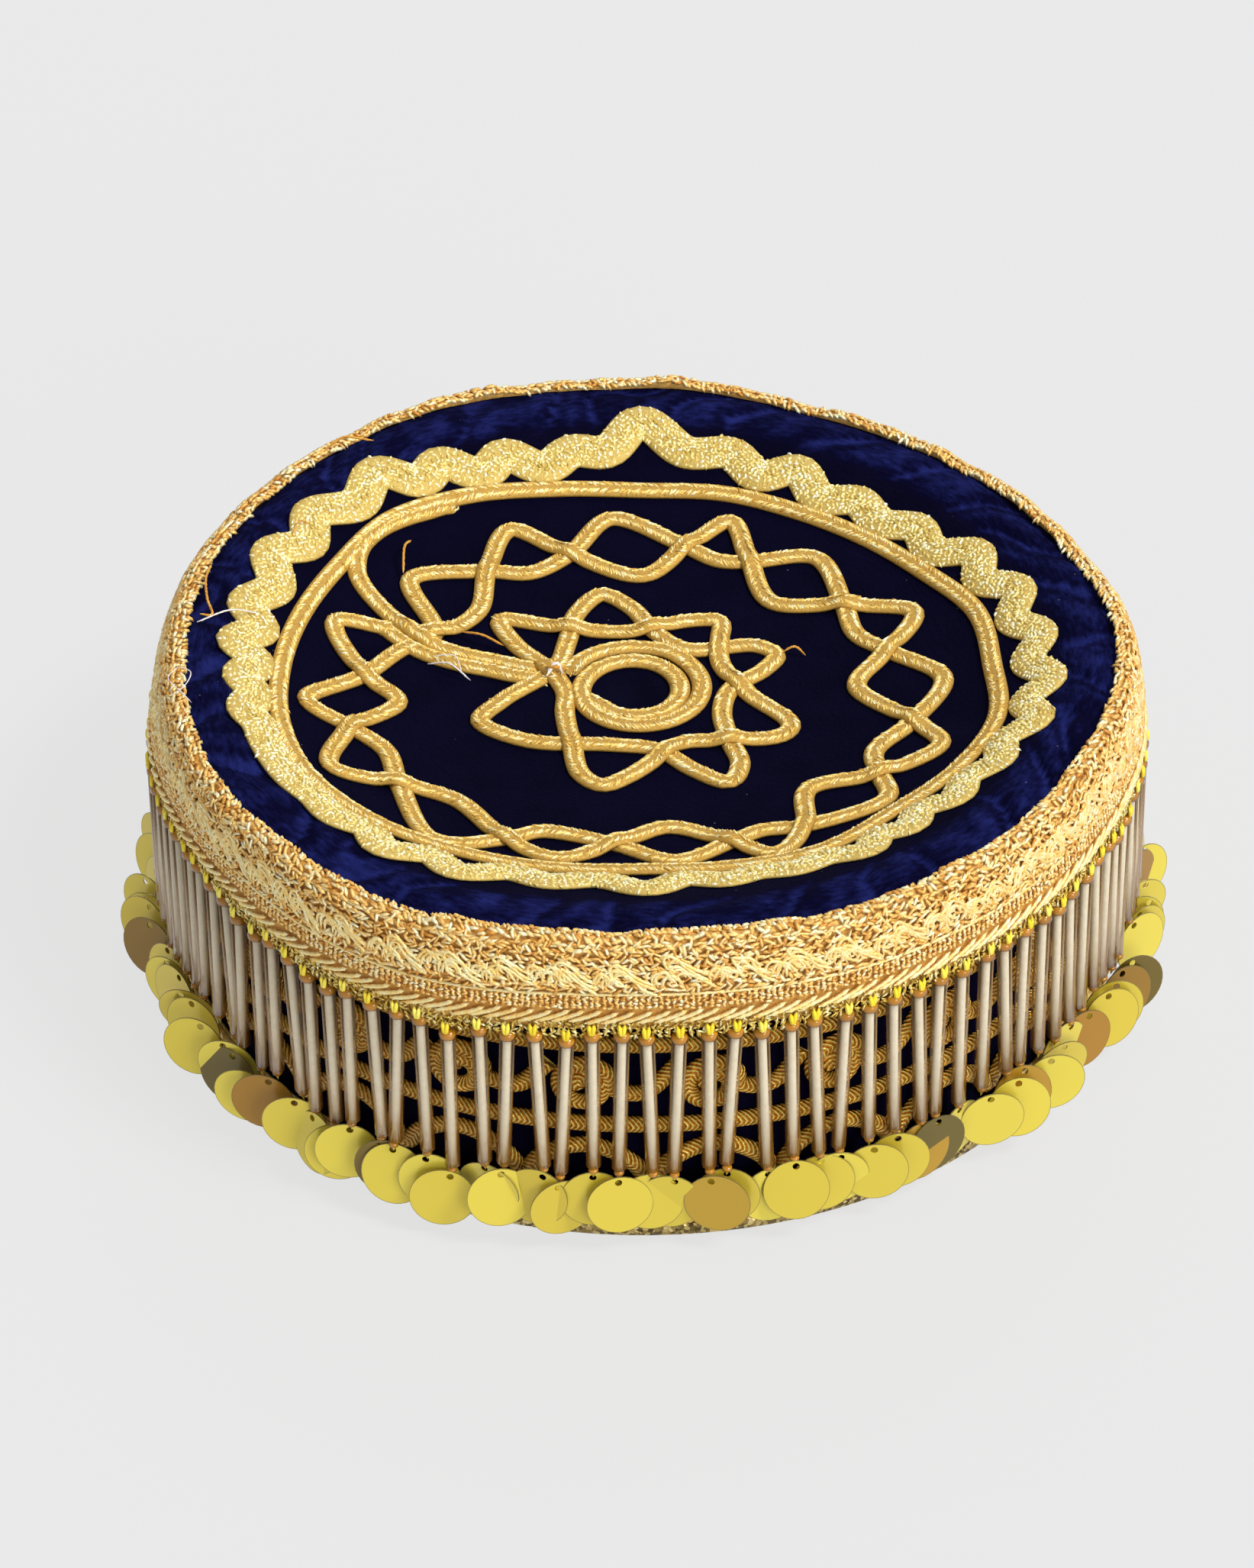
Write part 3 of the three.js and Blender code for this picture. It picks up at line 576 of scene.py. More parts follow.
def plait(route, width, height, stitch, chance):
    """Places for stitches in columns along a route, slanted to alternate sides."""
    rows = []
    for k in range(stitch.columns):
        share = (2 * k + 1) / stitch.columns - 1
        side = 1 if k % 2 else -1
        count = len(route.at)
        up = unit_rows(route.up + COLUMN_LEAN * share * route.across)
        across = np.cross(up, route.along)
        turn = np.radians(stitch.slant) * side + chance.normal(0, stitch.stray, (count, 1))
        along = unit_rows(route.along * np.cos(turn) + across * np.sin(turn))
        crown = height * (1 - CROWN_FALL * share**2) - STITCH_SINK * stitch.thickness
        at = route.at + route.across * (share * width / 2 * COLUMN_SPREAD) + route.up * crown
        at = at + route.along * chance.normal(0, stitch.jitter, (count, 1))
        at = at + route.across * chance.normal(0, stitch.jitter, (count, 1))
        even = np.array([stitch.length, stitch.thickness, stitch.thickness])
        stretch = even * chance.normal(1, STITCH_UNEVEN, (count, 3))
        tone = np.clip(chance.normal(0.52, 0.28, count), 0, 1)
        rows.append(Places(at, along, up, stretch, tone))
    return rows


def stitch_tree():
    """Sets a shape on every point, turned and stretched by the point's own attributes, and
    lays the result on a ground."""
    tree = bpy.data.node_groups.new("stitches on a ground", "GeometryNodeTree")
    kinds = {
        "Points": "NodeSocketGeometry",
        "Ground": "NodeSocketObject",
        "Shape": "NodeSocketObject",
        "Size": "NodeSocketFloat",
        "Material": "NodeSocketMaterial",
    }
    for label, kind in kinds.items():
        tree.interface.new_socket(label, in_out="INPUT", socket_type=kind)
    tree.interface.new_socket("Mesh", in_out="OUTPUT", socket_type="NodeSocketGeometry")

    def node(kind, inputs=None, **settings):
        """Adds a node and gives its outputs. An input is fed by a value or by sockets."""
        made = tree.nodes.new(kind)
        for key, setting in settings.items():
            setattr(made, key, setting)
        for key, source in (inputs or {}).items():
            if isinstance(source, str):
                made.inputs[key].default_value = source
            else:
                for socket in source if isinstance(source, list) else [source]:
                    tree.links.new(socket, made.inputs[key])
        return made.outputs

    def attribute(label):
        kind = "GeometryNodeInputNamedAttribute"
        return node(kind, {"Name": label}, data_type="FLOAT_VECTOR")["Attribute"]

    given = node("NodeGroupInput")
    shape = node("GeometryNodeObjectInfo", {"Object": given["Shape"]})
    ground = node("GeometryNodeObjectInfo", {"Object": given["Ground"]})
    axes = {"Primary Axis": attribute("up"), "Secondary Axis": attribute("along")}
    turn = node("FunctionNodeAxesToRotation", axes, primary_axis="Z", secondary_axis="X")
    size = {"Vector": attribute("stretch"), "Scale": given["Size"]}
    scale = node("ShaderNodeVectorMath", size, operation="SCALE")
    places = {
        "Points": given["Points"],
        "Instance": shape["Geometry"],
        "Rotation": turn["Rotation"],
        "Scale": scale["Vector"],
    }
    set_out = node("GeometryNodeInstanceOnPoints", places)["Instances"]
    coloured = {"Geometry": set_out, "Material": given["Material"]}
    dressed = node("GeometryNodeSetMaterial", coloured)["Geometry"]
    both = node("GeometryNodeJoinGeometry", {"Geometry": [dressed, ground["Geometry"]]})
    real = node("GeometryNodeRealizeInstances", {"Geometry": both["Geometry"]})
    node("NodeGroupOutput", {"Mesh": real["Geometry"]})
    return tree


STITCH_TREE = stitch_tree()


def bare_object(name, points, faces, rim=()):
    mesh = bpy.data.meshes.new(name)
    mesh.from_pydata(np.asarray(points, float).tolist(), [], faces)
    mesh.shade_smooth()
    if len(rim):
        marks(mesh, "rim", rim)
    return placed(name, mesh)


def stitched(name, places, finish, shape, ground=None):
    """A piece made of many like shapes, each with its place, and the ground under them."""
    every = Places(*(np.concatenate(parts) for parts in zip(*places)))
    cloud = bare_object(name + " points", every.at * MM, [])
    for label in ("along", "up", "stretch"):
        rows = cloud.data.attributes.new(label, "FLOAT_VECTOR", "POINT")
        rows.data.foreach_set("vector", getattr(every, label).astype(np.float32).ravel())
    marks(cloud.data, "tone", every.tone)
    pattern = bare_object(name + " shape", *shape)
    setter = cloud.modifiers.new("stitches", "NODES")
    setter.node_group = STITCH_TREE
    inputs = {"Ground": ground, "Shape": pattern, "Size": MM, "Material": finish}
    for item in STITCH_TREE.interface.items_tree:
        if item.name in inputs:
            setter[item.identifier] = inputs[item.name]
    bpy.context.view_layer.update()
    made = cloud.evaluated_get(bpy.context.evaluated_depsgraph_get())
    mesh = bpy.data.meshes.new_from_object(made)
    for label in ("along", "up", "stretch"):
        spare = mesh.attributes.get(label)
        if spare:
            mesh.attributes.remove(spare)
    mesh.name = name
    for thing in (cloud, pattern, ground):
        if thing:
            bpy.data.objects.remove(thing)
    return placed(name, mesh)


def lens():
    """A stitch: a small bundle of thread, one long and one wide, that dips at both ends."""
    ring_points = [(0, 0.5), (0.5, 0), (0, -0.35), (-0.5, 0)]
    points = [(-0.5, 0, -0.25)]
    points += [(-0.2, y, z) for y, z in ring_points] + [(0.2, y, z) for y, z in ring_points]
    points += [(0.5, 0, -0.25)]
    faces = []
    for k in range(4):
        turn = (k + 1) % 4
        faces.append([0, 1 + turn, 1 + k])
        faces.append([1 + k, 1 + turn, 5 + turn, 5 + k])
        faces.append([9, 5 + k, 5 + turn])
    return points, faces


LENS = lens()


def thread_finish(name, dark, middle, pale, metallic=0.55, roughness=0.38):
    """Metal-wrapped thread, whose tone changes from stitch to stitch and along each one."""
    thread = Finish(name, {"Metallic": metallic})
    here = thread.place()
    fleck = thread.grain(here, 0.45, 2.0)
    tone = thread.marked("tone") * 0.72 + fleck * 0.56 - 0.14
    colour = thread.ramp(tone, [(0.12, dark), (0.5, middle), (0.85, pale)])
    fibre = thread.grain(here, 0.16, 1.0)
    dull = roughness + 0.25 * (1 - tone)
    return thread.wear(Base_Color=colour, Roughness=dull, Normal=thread.bump(fibre, 0.10))


GOLD_THREAD = thread_finish(
    "gold_thread", (0.52, 0.28, 0.035), (1.0, 0.72, 0.19), (1.0, 0.97, 0.62), 0.4
)
GOLD_GROUND = thread_finish(
    "gold_ground", (0.52, 0.30, 0.05), (0.86, 0.58, 0.14), (1.0, 0.82, 0.36), 0.4
)

# The chain's 16 eyes, clockwise from the back: the crossing before each, its outer lobe and
# its inner lobe, as angles in degrees and radii in percent of TOP_RADIUS.
CHAIN = [
    ((108.5, 50.5), (96.5, 60.5), (90, 40.5)),
    ((79, 51), (71.5, 61.5), (69.5, 48)),
    ((62, 50), (49.5, 58.5), (46.5, 41)),
    ((32, 51.5), (21.5, 63), (20, 49)),
    ((11, 53.5), (-1, 64), (-2, 45.5)),
    ((-15.5, 59), (-22.5, 67.5), (-28.5, 55)),
    ((-35, 60), (-41.5, 67), (-48.5, 51.5)),
    ((-58, 62), (-67, 68.5), (-66, 58.5)),
    ((-73, 60), (-84.5, 65), (-85, 51.5)),
    ((-96.5, 58), (-106.5, 66), (-112.5, 57)),
    ((-117.5, 63), (-126.5, 73), (-133.5, 57.5)),
    ((-144.5, 63.5), (-153, 74), (-156, 60)),
    ((-164.5, 64.5), (-172.5, 72.5), (-173, 53)),
    ((-182.5, 60), (-197, 69.5), (-193, 54)),
    ((-202.5, 49), (-216.5, 63), (-216.5, 45)),
    ((-230.5, 53.5), (-242.5, 63), (-239, 48)),
]
# The ring's radius every 15 degrees, in percent of TOP_RADIUS.
RING_CORD = [
    74.5, 74.5, 71, 69.5, 69, 69.5, 69, 71.5, 75.5, 78, 76.5, 76.5,
    77.5, 79.5, 80.5, 78, 73.5, 70.5, 68.5, 70.5, 73, 72, 75, 77,
]
# The star's two loops and the strands from the ring to the star, as x, y in percent.
STAR_LOOPS = [
    [
        (-9, 34), (-2.5, 29), (2.5, 20), (9.5, 13.5), (24, 14.5), (28.5, 11), (25.5, 5.5),
        (18.5, -1), (16.5, -9), (18, -19.5), (20, -28), (17.5, -34.5), (10.5, -30), (2.5, -22.5),
        (-7, -20.5), (-24.5, -19), (-35, -12), (-30.5, -4.5), (-19, 7.5), (-16.5, 17), (-14.5, 27),
    ],
    [
        (-31, 24.5), (-18, 22), (-10, 20.5), (-1, 20.5), (9.5, 24), (16.5, 23.5), (16.5, 17),
        (16.5, 8.5), (22, -2.5), (31, -14), (29, -18), (16.5, -19.5), (8, -20), (3, -25),
        (-4, -32), (-9, -35), (-13.5, -31), (-15.5, -20.5), (-17, -9), (-17, -1), (-22, 8.5),
        (-27.5, 15.5),
    ],
]
COIL_CENTRE = np.array([-1.8, -0.8])
LINK_STRANDS = [
    [
        (-41, 63), (-46.5, 59.5), (-53, 55.5), (-58, 51), (-61.5, 45.5), (-62.5, 40.5), (-62, 35.5),
        (-55.5, 25), (-47, 15.5), (-39.5, 12), (-32.5, 10), (-25.5, 7.5), (-20, 6),
    ],
    [(-57.5, 21.5), (-49, 12.5), (-41, 8.5), (-33.5, 6.5), (-26.5, 4), (-20, 3)],
]


def plan(percent_points):
    return np.array(percent_points, float) * TOP_RADIUS / 100


def polar_plan(rows):
    degrees, percent = np.array(rows, float).T
    return polar(TOP_RADIUS * percent / 100, np.radians(degrees), 0)[:, :2]


def chain_strand(first):
    """One strand of the chain: the outer lobe of every other eye, and the inner of the rest."""
    rows = []
    for i, (cross, outer, inner) in enumerate(CHAIN):
        rows += [cross, outer if i % 2 == first else inner]
    return polar_plan(rows)


def coil_plan():
    turn = np.arange(-1 / 12, COIL_TURNS, 1 / 12)
    radius = COIL_INNER_RADIUS + COIL_PITCH * np.maximum(0, turn - COIL_EYE_TURNS)
    radius[0] += COIL_PITCH / 2
    angle = np.pi - 2 * np.pi * (COIL_TURNS - turn)
    return plan([COIL_CENTRE])[0] + polar(radius, angle, 0)[:, :2]


def gold_cord(name, routes, node, seed):
    """Cords that lie on the top. Each route is (plan, is_loop, what it runs over)."""
    chance = np.random.default_rng(seed)
    strips, places = [], []
    for points, is_loop, over in routes:
        width = CORD_SPREAD * CORD_WIDTH
        coarse = on_top(points, is_loop, GROUND_STEP, over)
        strips.append(strip(coarse, GROUND_WIDTH * width, GROUND_HEIGHT * CORD_HEIGHT))
        fine = on_top(points, is_loop, STITCH_PITCH, over)
        places += plait(fine, width, CORD_HEIGHT, CORD_STITCH, chance)
    ground = lofted(name + " ground", strips, GOLD_GROUND, step=GROUND_STEP)
    piece = stitched(name, places, GOLD_THREAD, LENS, ground)
    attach(piece, "root")
    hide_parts(node)


CHAIN_STRANDS = [chain_strand(0), chain_strand(1)]
STAR_PLANS = [plan(loop) for loop in STAR_LOOPS]
LINK_PLANS = [plan(strand) for strand in LINK_STRANDS]
RING_PLAN = polar_plan([(15 * i, percent) for i, percent in enumerate(RING_CORD)])

STARS = [(points, True) for points in STAR_PLANS]
CHAINS = [(points, True) for points in CHAIN_STRANDS]

gold_cord(
    "star_cord_looped",
    [(*STARS[0], []), (*STARS[1], STARS[:1]), (coil_plan(), False, STARS)],
    "star_cord",
    11,
)
links = [(LINK_PLANS[0], False, CHAINS), (LINK_PLANS[1], False, [])]
gold_cord("link_cord_sewn", links, "link_cord", 12)
crossed = [(*CHAINS[0], []), (*CHAINS[1], CHAINS[:1])]
gold_cord("chain_cord_crossed", crossed, "chain_cord", 13)
gold_cord("ring_cord_sewn", [(RING_PLAN, True, [])], "ring_cord", 14)

# The scalloped braid
# A broader and paler plaited ribbon that swings in and out round the ring in 33 lobes, and
# meets itself in a pointed one at the back.

SCALLOP_WIDTH = 6.4
SCALLOP_HEIGHT = 1.2
SCALLOP_DEPTH = 3.6
# Each lobe's angle in degrees and its outer radius in percent of TOP_RADIUS.
SCALLOPS = [
    (90, 91), (75.5, 84), (64, 83), (51.5, 80.5), (39, 81.5), (27, 85.5), (15.5, 88), (4, 89),
    (-7, 90.5), (-17, 90), (-27.5, 87), (-38, 85.5), (-47.5, 84.5), (-56, 85), (-67, 82),
    (-78, 81), (-90, 83.5), (-105, 82), (-118, 87), (-129, 89.5), (-139, 89), (-149, 88.5),
    (-159, 88.5), (-167, 90), (-175, 89.5), (-183, 91), (-192, 91), (-204.5, 92.5),
    (-215.5, 92.5), (-229, 93), (-238.5, 89), (-248.5, 86.5), (-259, 84.5),
]
SCALLOP_SPREAD = 1.1
SCALLOP_SPREAD_BACK = 0.2
SCALLOP_LAP = 1.3
SCALLOP_GROUND_WIDTH = 0.96
SCALLOP_GROUND_HEIGHT = 0.8
SCALLOP_STITCH_PITCH = 0.86
SCALLOP_STITCH = Stitch(columns=9, slant=38, length=1.4, thickness=0.6, stray=0.9, jitter=0.15)
PALE_THREAD = thread_finish(
    "pale_gold_thread", (0.60, 0.42, 0.08), (1.0, 0.85, 0.33), (1.0, 1.0, 0.78), 0.4
)
PALE_GROUND = thread_finish(
    "pale_gold_ground", (0.60, 0.42, 0.10), (0.95, 0.74, 0.27), (1.0, 0.92, 0.5), 0.4
)


def scallop_plan():
    percent = 100 / TOP_RADIUS
    from_ring = ((SCALLOP_WIDTH + CORD_WIDTH) / 2 + 2 * SEAM_GAP - SCALLOP_LAP) * percent
    rows = []
    for i, (angle, outer) in enumerate(SCALLOPS):
        next_angle, next_outer = SCALLOPS[(i + 1) % len(SCALLOPS)]
        notch_angle = angle - ((angle - next_angle) % 360) / 2
        crest = outer - SCALLOP_WIDTH / 2 * percent
        notch = (outer + next_outer) / 2 - (SCALLOP_WIDTH / 2 + SCALLOP_DEPTH) * percent
        for at, radius in ((angle, crest), (notch_angle, notch)):
            ring_percent = np.interp(at % 360, np.arange(0, 361, 15), RING_CORD + RING_CORD[:1])
            rows.append((at, max(radius, ring_percent + from_ring)))
    return polar_plan(rows)


def scalloped_braid():
    chance = np.random.default_rng(21)
    path = scallop_plan()

    def width(route):
        towards_back = np.cos(np.arctan2(route.at[:, 1:2], route.at[:, :1]) - math.radians(150))
        return SCALLOP_WIDTH * (SCALLOP_SPREAD + SCALLOP_SPREAD_BACK * (0.5 + 0.5 * towards_back))

    coarse = on_top(path, True, GROUND_STEP)
    wide = SCALLOP_GROUND_WIDTH * width(coarse)[:, None]
    under = strip(coarse, wide, SCALLOP_GROUND_HEIGHT * SCALLOP_HEIGHT)
    ground = lofted("scallop ground", [under], PALE_GROUND, step=GROUND_STEP)
    fine = on_top(path, True, SCALLOP_STITCH_PITCH)
    places = plait(fine, width(fine), SCALLOP_HEIGHT, SCALLOP_STITCH, chance)
    piece = stitched("scalloped_braid", places, PALE_THREAD, LENS, ground)
    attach(piece, "root")
    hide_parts("scallop_braid")


scalloped_braid()

# The edge braid
# A broad braid of copper gold threads sewn over the edge, which flares out over the side.
# Rows of small loops run down from its lip, with wavy bundles of threads laid over them.
# Below are a fine net, slanted ropes and a glittering lace edge that the fringe hangs from.

BRAID_WIDTH = 19.4
BRAID_THICKNESS = 2.0
BRAID_LIP = 2.0
BRAID_FLARE = 3.6
BRAID_SEAT = 0.63
BRAID_ROLL = 1.5
BRAID_WAVER = 0.7
BRAID_OUT = {"down": [0.0, 0.15, 0.5, 1.0], "out": [0.0, 0.25, 0.7, 1.0]}
BRAID_ROLL_DOWN = 3.0
BRAID_WAVER_DOWN = 9.0
BRAID_REACH = 3.0
BRAID_GIRTH = 2 * np.pi * (TOP_RADIUS + BRAID_REACH)
UPPER_CORD_HEIGHT = 43.7
SIDE_CORD_HEIGHT = 1.3
BUGLE_DIAMETER = 2.6


def clear_of_cord(angle, z):
    """The middle of a bugle bead that hangs clear of a cord sewn on the side."""
    return side_radius(angle, z) + SIDE_CORD_HEIGHT + 2 * SEAM_GAP + BUGLE_DIAMETER / 2


def fringe_radius(angle):
    """The middle of the braid's foot, which the fringe hangs from."""
    seated = edge_radius(angle) + BRAID_SEAT
    flared = seated + BRAID_FLARE * around(angle, "flare") + BRAID_THICKNESS / 2
    return np.maximum(flared, clear_of_cord(angle, UPPER_CORD_HEIGHT))


def braid_radius(angle, down):
    """The braid's outer face, a distance down from its upper edge, which rolls inwards."""
    share = down / BRAID_WIDTH
    out = rounded(BRAID_OUT["down"], BRAID_OUT["out"], share)
    flare = fringe_radius(angle) - BRAID_THICKNESS / 2 - BRAID_SEAT - edge_radius(angle)
    roll = BRAID_ROLL * np.clip(1 - down / BRAID_ROLL_DOWN, 0, 1) ** 2
    return edge_radius(angle) + BRAID_SEAT + BRAID_THICKNESS + flare * out - roll


def braid_height(angle, down):
    """The braid's height at a distance down. Its upper edge wavers, as sewn by hand."""
    waver = 0.5 * np.sin(13 * angle + 1) + 0.3 * np.sin(29 * angle + 2) + 0.3 * np.sin(47 * angle)
    near_lip = np.clip(1 - down / BRAID_WAVER_DOWN, 0, 1)
    return edge_height(angle) + BRAID_LIP - down + BRAID_WAVER * waver * near_lip


def on_braid(points, is_loop, step, proud=0.0):
    """A route on the braid from points of distance round and distance down, or all the way
    round at one distance down."""
    if is_loop:
        girth = np.linspace(0, BRAID_GIRTH, round(BRAID_GIRTH / step), endpoint=False)
        down = np.full_like(girth, points)
    else:
        girth, down = along_curve(points, False, step).T
    angle = girth / BRAID_GIRTH * 2 * np.pi
    slope = braid_radius(angle, down + 0.5) - braid_radius(angle, down - 0.5)
    up = unit_rows(polar(1, angle, slope))
    at = polar(braid_radius(angle, down), angle, braid_height(angle, down))
    return course(at + up * proud, up, is_loop)


def on_lip(out, step):
    """A loop on the braid's upper lip, that far out from the velvet's edge."""
    angle = np.linspace(0, 2 * np.pi, round(BRAID_GIRTH / step), endpoint=False)
    at = polar(edge_radius(angle) + out, angle, braid_height(angle, 0.4))
    return course(at, unit_rows(polar(-0.5, angle, 1.0)), True)


def rope(route, radius, pitch=0.0, sides=8, lift=0.0):
    """The sections of a round thread, or with a pitch of a two-ply rope. Its ends taper."""
    count = len(route.at)
    turn = np.linspace(0, 2 * np.pi, sides, endpoint=False)
    length = np.concatenate([[0], np.cumsum(np.linalg.norm(np.diff(route.at, axis=0), axis=1))])
    size = np.full((count, sides), radius)
    if pitch:
        size = radius * (0.80 + 0.20 * np.cos(2 * turn - 2 * np.pi * length[:, None] / pitch))
    if not route.is_loop:
        ends = np.minimum(np.arange(count), np.arange(count)[::-1])
        size = size * np.clip(0.25 + 0.4 * ends[:, None], 0, 1)
    across = route.across[:, None] * (size * np.cos(turn))[..., None]
    up = route.up[:, None] * (size * np.sin(turn) + lift)[..., None]
    return route.at[:, None] + across + up, route.is_loop


COPPER_THREAD = thread_finish(
    "copper_gold_thread", (0.62, 0.27, 0.035), (1.0, 0.66, 0.20), (1.0, 0.95, 0.62), 0.4, 0.3
)
COPPER_GROUND = thread_finish(
    "copper_gold_ground", (0.40, 0.16, 0.02), (0.76, 0.42, 0.09), (0.95, 0.68, 0.25), 0.3
)
COPPER_ROPE = thread_finish(
    "copper_gold_rope", (0.66, 0.31, 0.05), (1.0, 0.70, 0.21), (1.0, 0.93, 0.54), 0.4, 0.26
)


def toned(piece, low, high, size=1.3):
    """Gives a lofted piece the tone that the finishes of thread read."""
    places = np.empty(len(piece.data.vertices) * 3, np.float32)
    piece.data.vertices.foreach_get("co", places)
    values = (high + low) / 2 + (high - low) / 2 * uneven(places.reshape(-1, 3) / MM, size)
    marks(piece.data, "tone", values)
    return piece


def braid_ground():
    def section(angle):
        down = BRAID_WIDTH * np.array([0.97, 0.8, 0.65, 0.5, 0.38, 0.26, 0.15, 0.07, 0.02])
        back = down[::-2]
        face = braid_radius(angle, down) - 0.7
        behind = np.maximum(braid_radius(angle, back) - BRAID_THICKNESS, edge_radius(angle) + 0.1)
        heights = [braid_height(angle, down), braid_height(angle, back) - 0.4]
        return np.concatenate([face, behind - 0.3], 1), np.concatenate(heights, 1)

    ground = lofted("braid ground", [(ring(TOP_SIDES, section), True)], COPPER_GROUND)
    return toned(ground, 0.1, 0.8)


LOOP_ROWS = 12
FIRST_LOOP_ROW = 0.5
LOOP_ROW_PITCH = 0.88
LIP_ROWS = (-0.15, 0.55)
NET_ROWS = (11.9, 12.8, 13.7)
LOOP_STITCH = Stitch(columns=1, slant=26, length=2.4, thickness=0.7, stray=0.5, jitter=0.25)
LIP_STITCH = Stitch(columns=1, slant=30, length=2.1, thickness=0.8, stray=0.6, jitter=0.2)
NET_STITCH = Stitch(columns=2, slant=35, length=1.35, thickness=0.58, stray=0.6, jitter=0.12)


def braid_stitches():
    """Rows of small loops on the face and the lip, and the fine net below."""
    chance = np.random.default_rng(31)
    places = []
    for k in range(LOOP_ROWS):
        thick = chance.uniform(0.55, 0.85)
        stitch = LOOP_STITCH._replace(slant=LOOP_STITCH.slant * (-1) ** k, thickness=thick)
        row = on_braid(FIRST_LOOP_ROW + LOOP_ROW_PITCH * k, True, 1.0, -0.65)
        places += plait(row, 1.0, 0.9, stitch, chance)
    for out in LIP_ROWS:
        places += plait(on_lip(out, 1.0), 1.0, 0.35, LIP_STITCH, chance)
    for down in NET_ROWS:
        places += plait(on_braid(down, True, 1.1, -0.55), 1.0, 0.7, NET_STITCH, chance)
    piece = stitched("edge_braid_loops", places, COPPER_THREAD, LENS, braid_ground())
    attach(piece, "root")
    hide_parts("edge_braid")


# A wavy bundle and a hooked one, as distance round and down from the bundle's middle.
BUNDLE = [(-1.6, 0.5), (-2.9, -0.2), (-3.2, -1.5), (-2.2, -2.0), (-0.8, -1.1), (1.0, 0.5), (3.4, 1.7)]
HOOKED_BUNDLE = [(-1.6, 1.5), (-1.4, -0.2), (-0.4, -1.2), (0.8, -0.7), (2.0, 0.9)]
BUNDLE_PITCH = 10.2
BUNDLE_DOWN = (6.6, 8.2)
BUNDLE_SIZE = (0.8, 1.25)
BUNDLE_STRAY = 0.24
BUNDLE_RADIUS = 0.44
BUNDLE_TWIST = 1.6
# Each repeat's bundles: their place in it, their form, how many threads and how far apart.
BUNDLES = [
    (0.0, BUNDLE, 3, (0.45, 0.95)),
    (0.45, HOOKED_BUNDLE, 3, (0.95, 0.3)),
    (0.75, HOOKED_BUNDLE, 2, (0.9, 0.5)),
]


def braid_bundles():
    chance = np.random.default_rng(32)
    count = round(BRAID_GIRTH / BUNDLE_PITCH)
    lofts = []
    for i in range(count):
        for place, points, threads, apart in BUNDLES:
            girth = (i + place + chance.uniform(-0.1, 0.1)) * BRAID_GIRTH / count
            middle = [girth, chance.uniform(*BUNDLE_DOWN)]
            size = chance.uniform(*BUNDLE_SIZE)
            for k in range(threads):
                stray = chance.normal(0, BUNDLE_STRAY, (len(points), 2))
                beside = np.array(apart) * (k - (threads - 1) / 2)
                line = np.array(points) * size + middle + beside + stray
                route = on_braid(line, False, 0.5, 0.1)
                lofts.append(rope(route, BUNDLE_RADIUS, BUNDLE_TWIST, sides=6))
    piece = toned(lofted("edge_braid_bundles", lofts, COPPER_ROPE), 0.3, 1.1)
    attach(piece, "root")


# A slanted rope, as distance round from its start and down from its foot's line.
SLANTED_ROPE = [(0, 0.5), (2.0, -0.1), (4.0, -0.9), (5.8, -1.9)]
SLANTED_DOWN = 16.4
SLANTED_PITCH = 2.9
SLANTED_RADIUS = 0.5
SLANTED_TWIST = 1.4
LEVEL_ROPE_ROWS = (1.6, 11.2)
LEVEL_ROPE_RADIUS = 0.45
LEVEL_ROPE_TWIST = 1.5


def braid_ropes():
    chance = np.random.default_rng(33)
    level = [on_braid(down, True, 0.5, -0.35) for down in LEVEL_ROPE_ROWS]
    lofts = [rope(route, LEVEL_ROPE_RADIUS, LEVEL_ROPE_TWIST, sides=6) for route in level]
    count = round(BRAID_GIRTH / SLANTED_PITCH)
    for i in range(count):
        start = (i + chance.uniform(-0.12, 0.12)) * BRAID_GIRTH / count
        low = SLANTED_DOWN + chance.uniform(-0.25, 0.25)
        line = np.array(SLANTED_ROPE) + [start, low]
        route = on_braid(line, False, 0.4, 0.1)
        lofts.append(rope(route, SLANTED_RADIUS, SLANTED_TWIST, sides=6))
    piece = toned(lofted("edge_braid_ropes", lofts, COPPER_ROPE), 0.3, 1.1)
    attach(piece, "root")


LACE_ROWS = (17.3, 18.2, 19.1, 20.0)
LACE_STITCH = Stitch(columns=2, slant=52, length=1.9, thickness=0.5, stray=0.5, jitter=0.2)
LACE_GLITTER = thread_finish(
    "lace_glitter", (0.30, 0.16, 0.015), (0.82, 0.58, 0.11), (1.0, 0.96, 0.55), 0.6, 0.25
)


def lace_edge():
    """The lace under the ropes: crossed threads of greenish gold tinsel."""
    chance = np.random.default_rng(34)
    places = []
    for down in LACE_ROWS:
        places += plait(on_braid(down, True, 1.35, -0.8), 1.3, 0.5, LACE_STITCH, chance)
    piece = stitched("lace_edge", places, LACE_GLITTER, LENS)
    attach(piece, "root")


braid_stitches()
braid_bundles()
braid_ropes()
lace_edge()

# The cords and scrolls on the side
# Behind the fringe the wall carries cord in two level lines, with rolled scrolls between
# them and a row of arches below. All of it is one flat cord with a herringbone surface.

SIDE_CORD_WIDTH = 2.8
SIDE_CORD_SPREAD = 1.2
LOWER_CORD_HEIGHT = 25.9
SCROLL_COUNT = 24
SCROLL_HEIGHT = 34.6
SCROLL_RADIUS = 4.6
ARCH_FOOT = 13.6
ARCH_RISE = 7.4
SCROLL_EYE_RADIUS = 0.9
SCROLL_TURNS = 1.63
SCROLL_OPENING_TURNS = 1.05
SCROLL_START = math.radians(-150)
CHEVRON_PITCH = 0.95
CHEVRON_SLOPE = 4.2
SIDE_GIRTH = 2 * np.pi * RIM_RADIUS


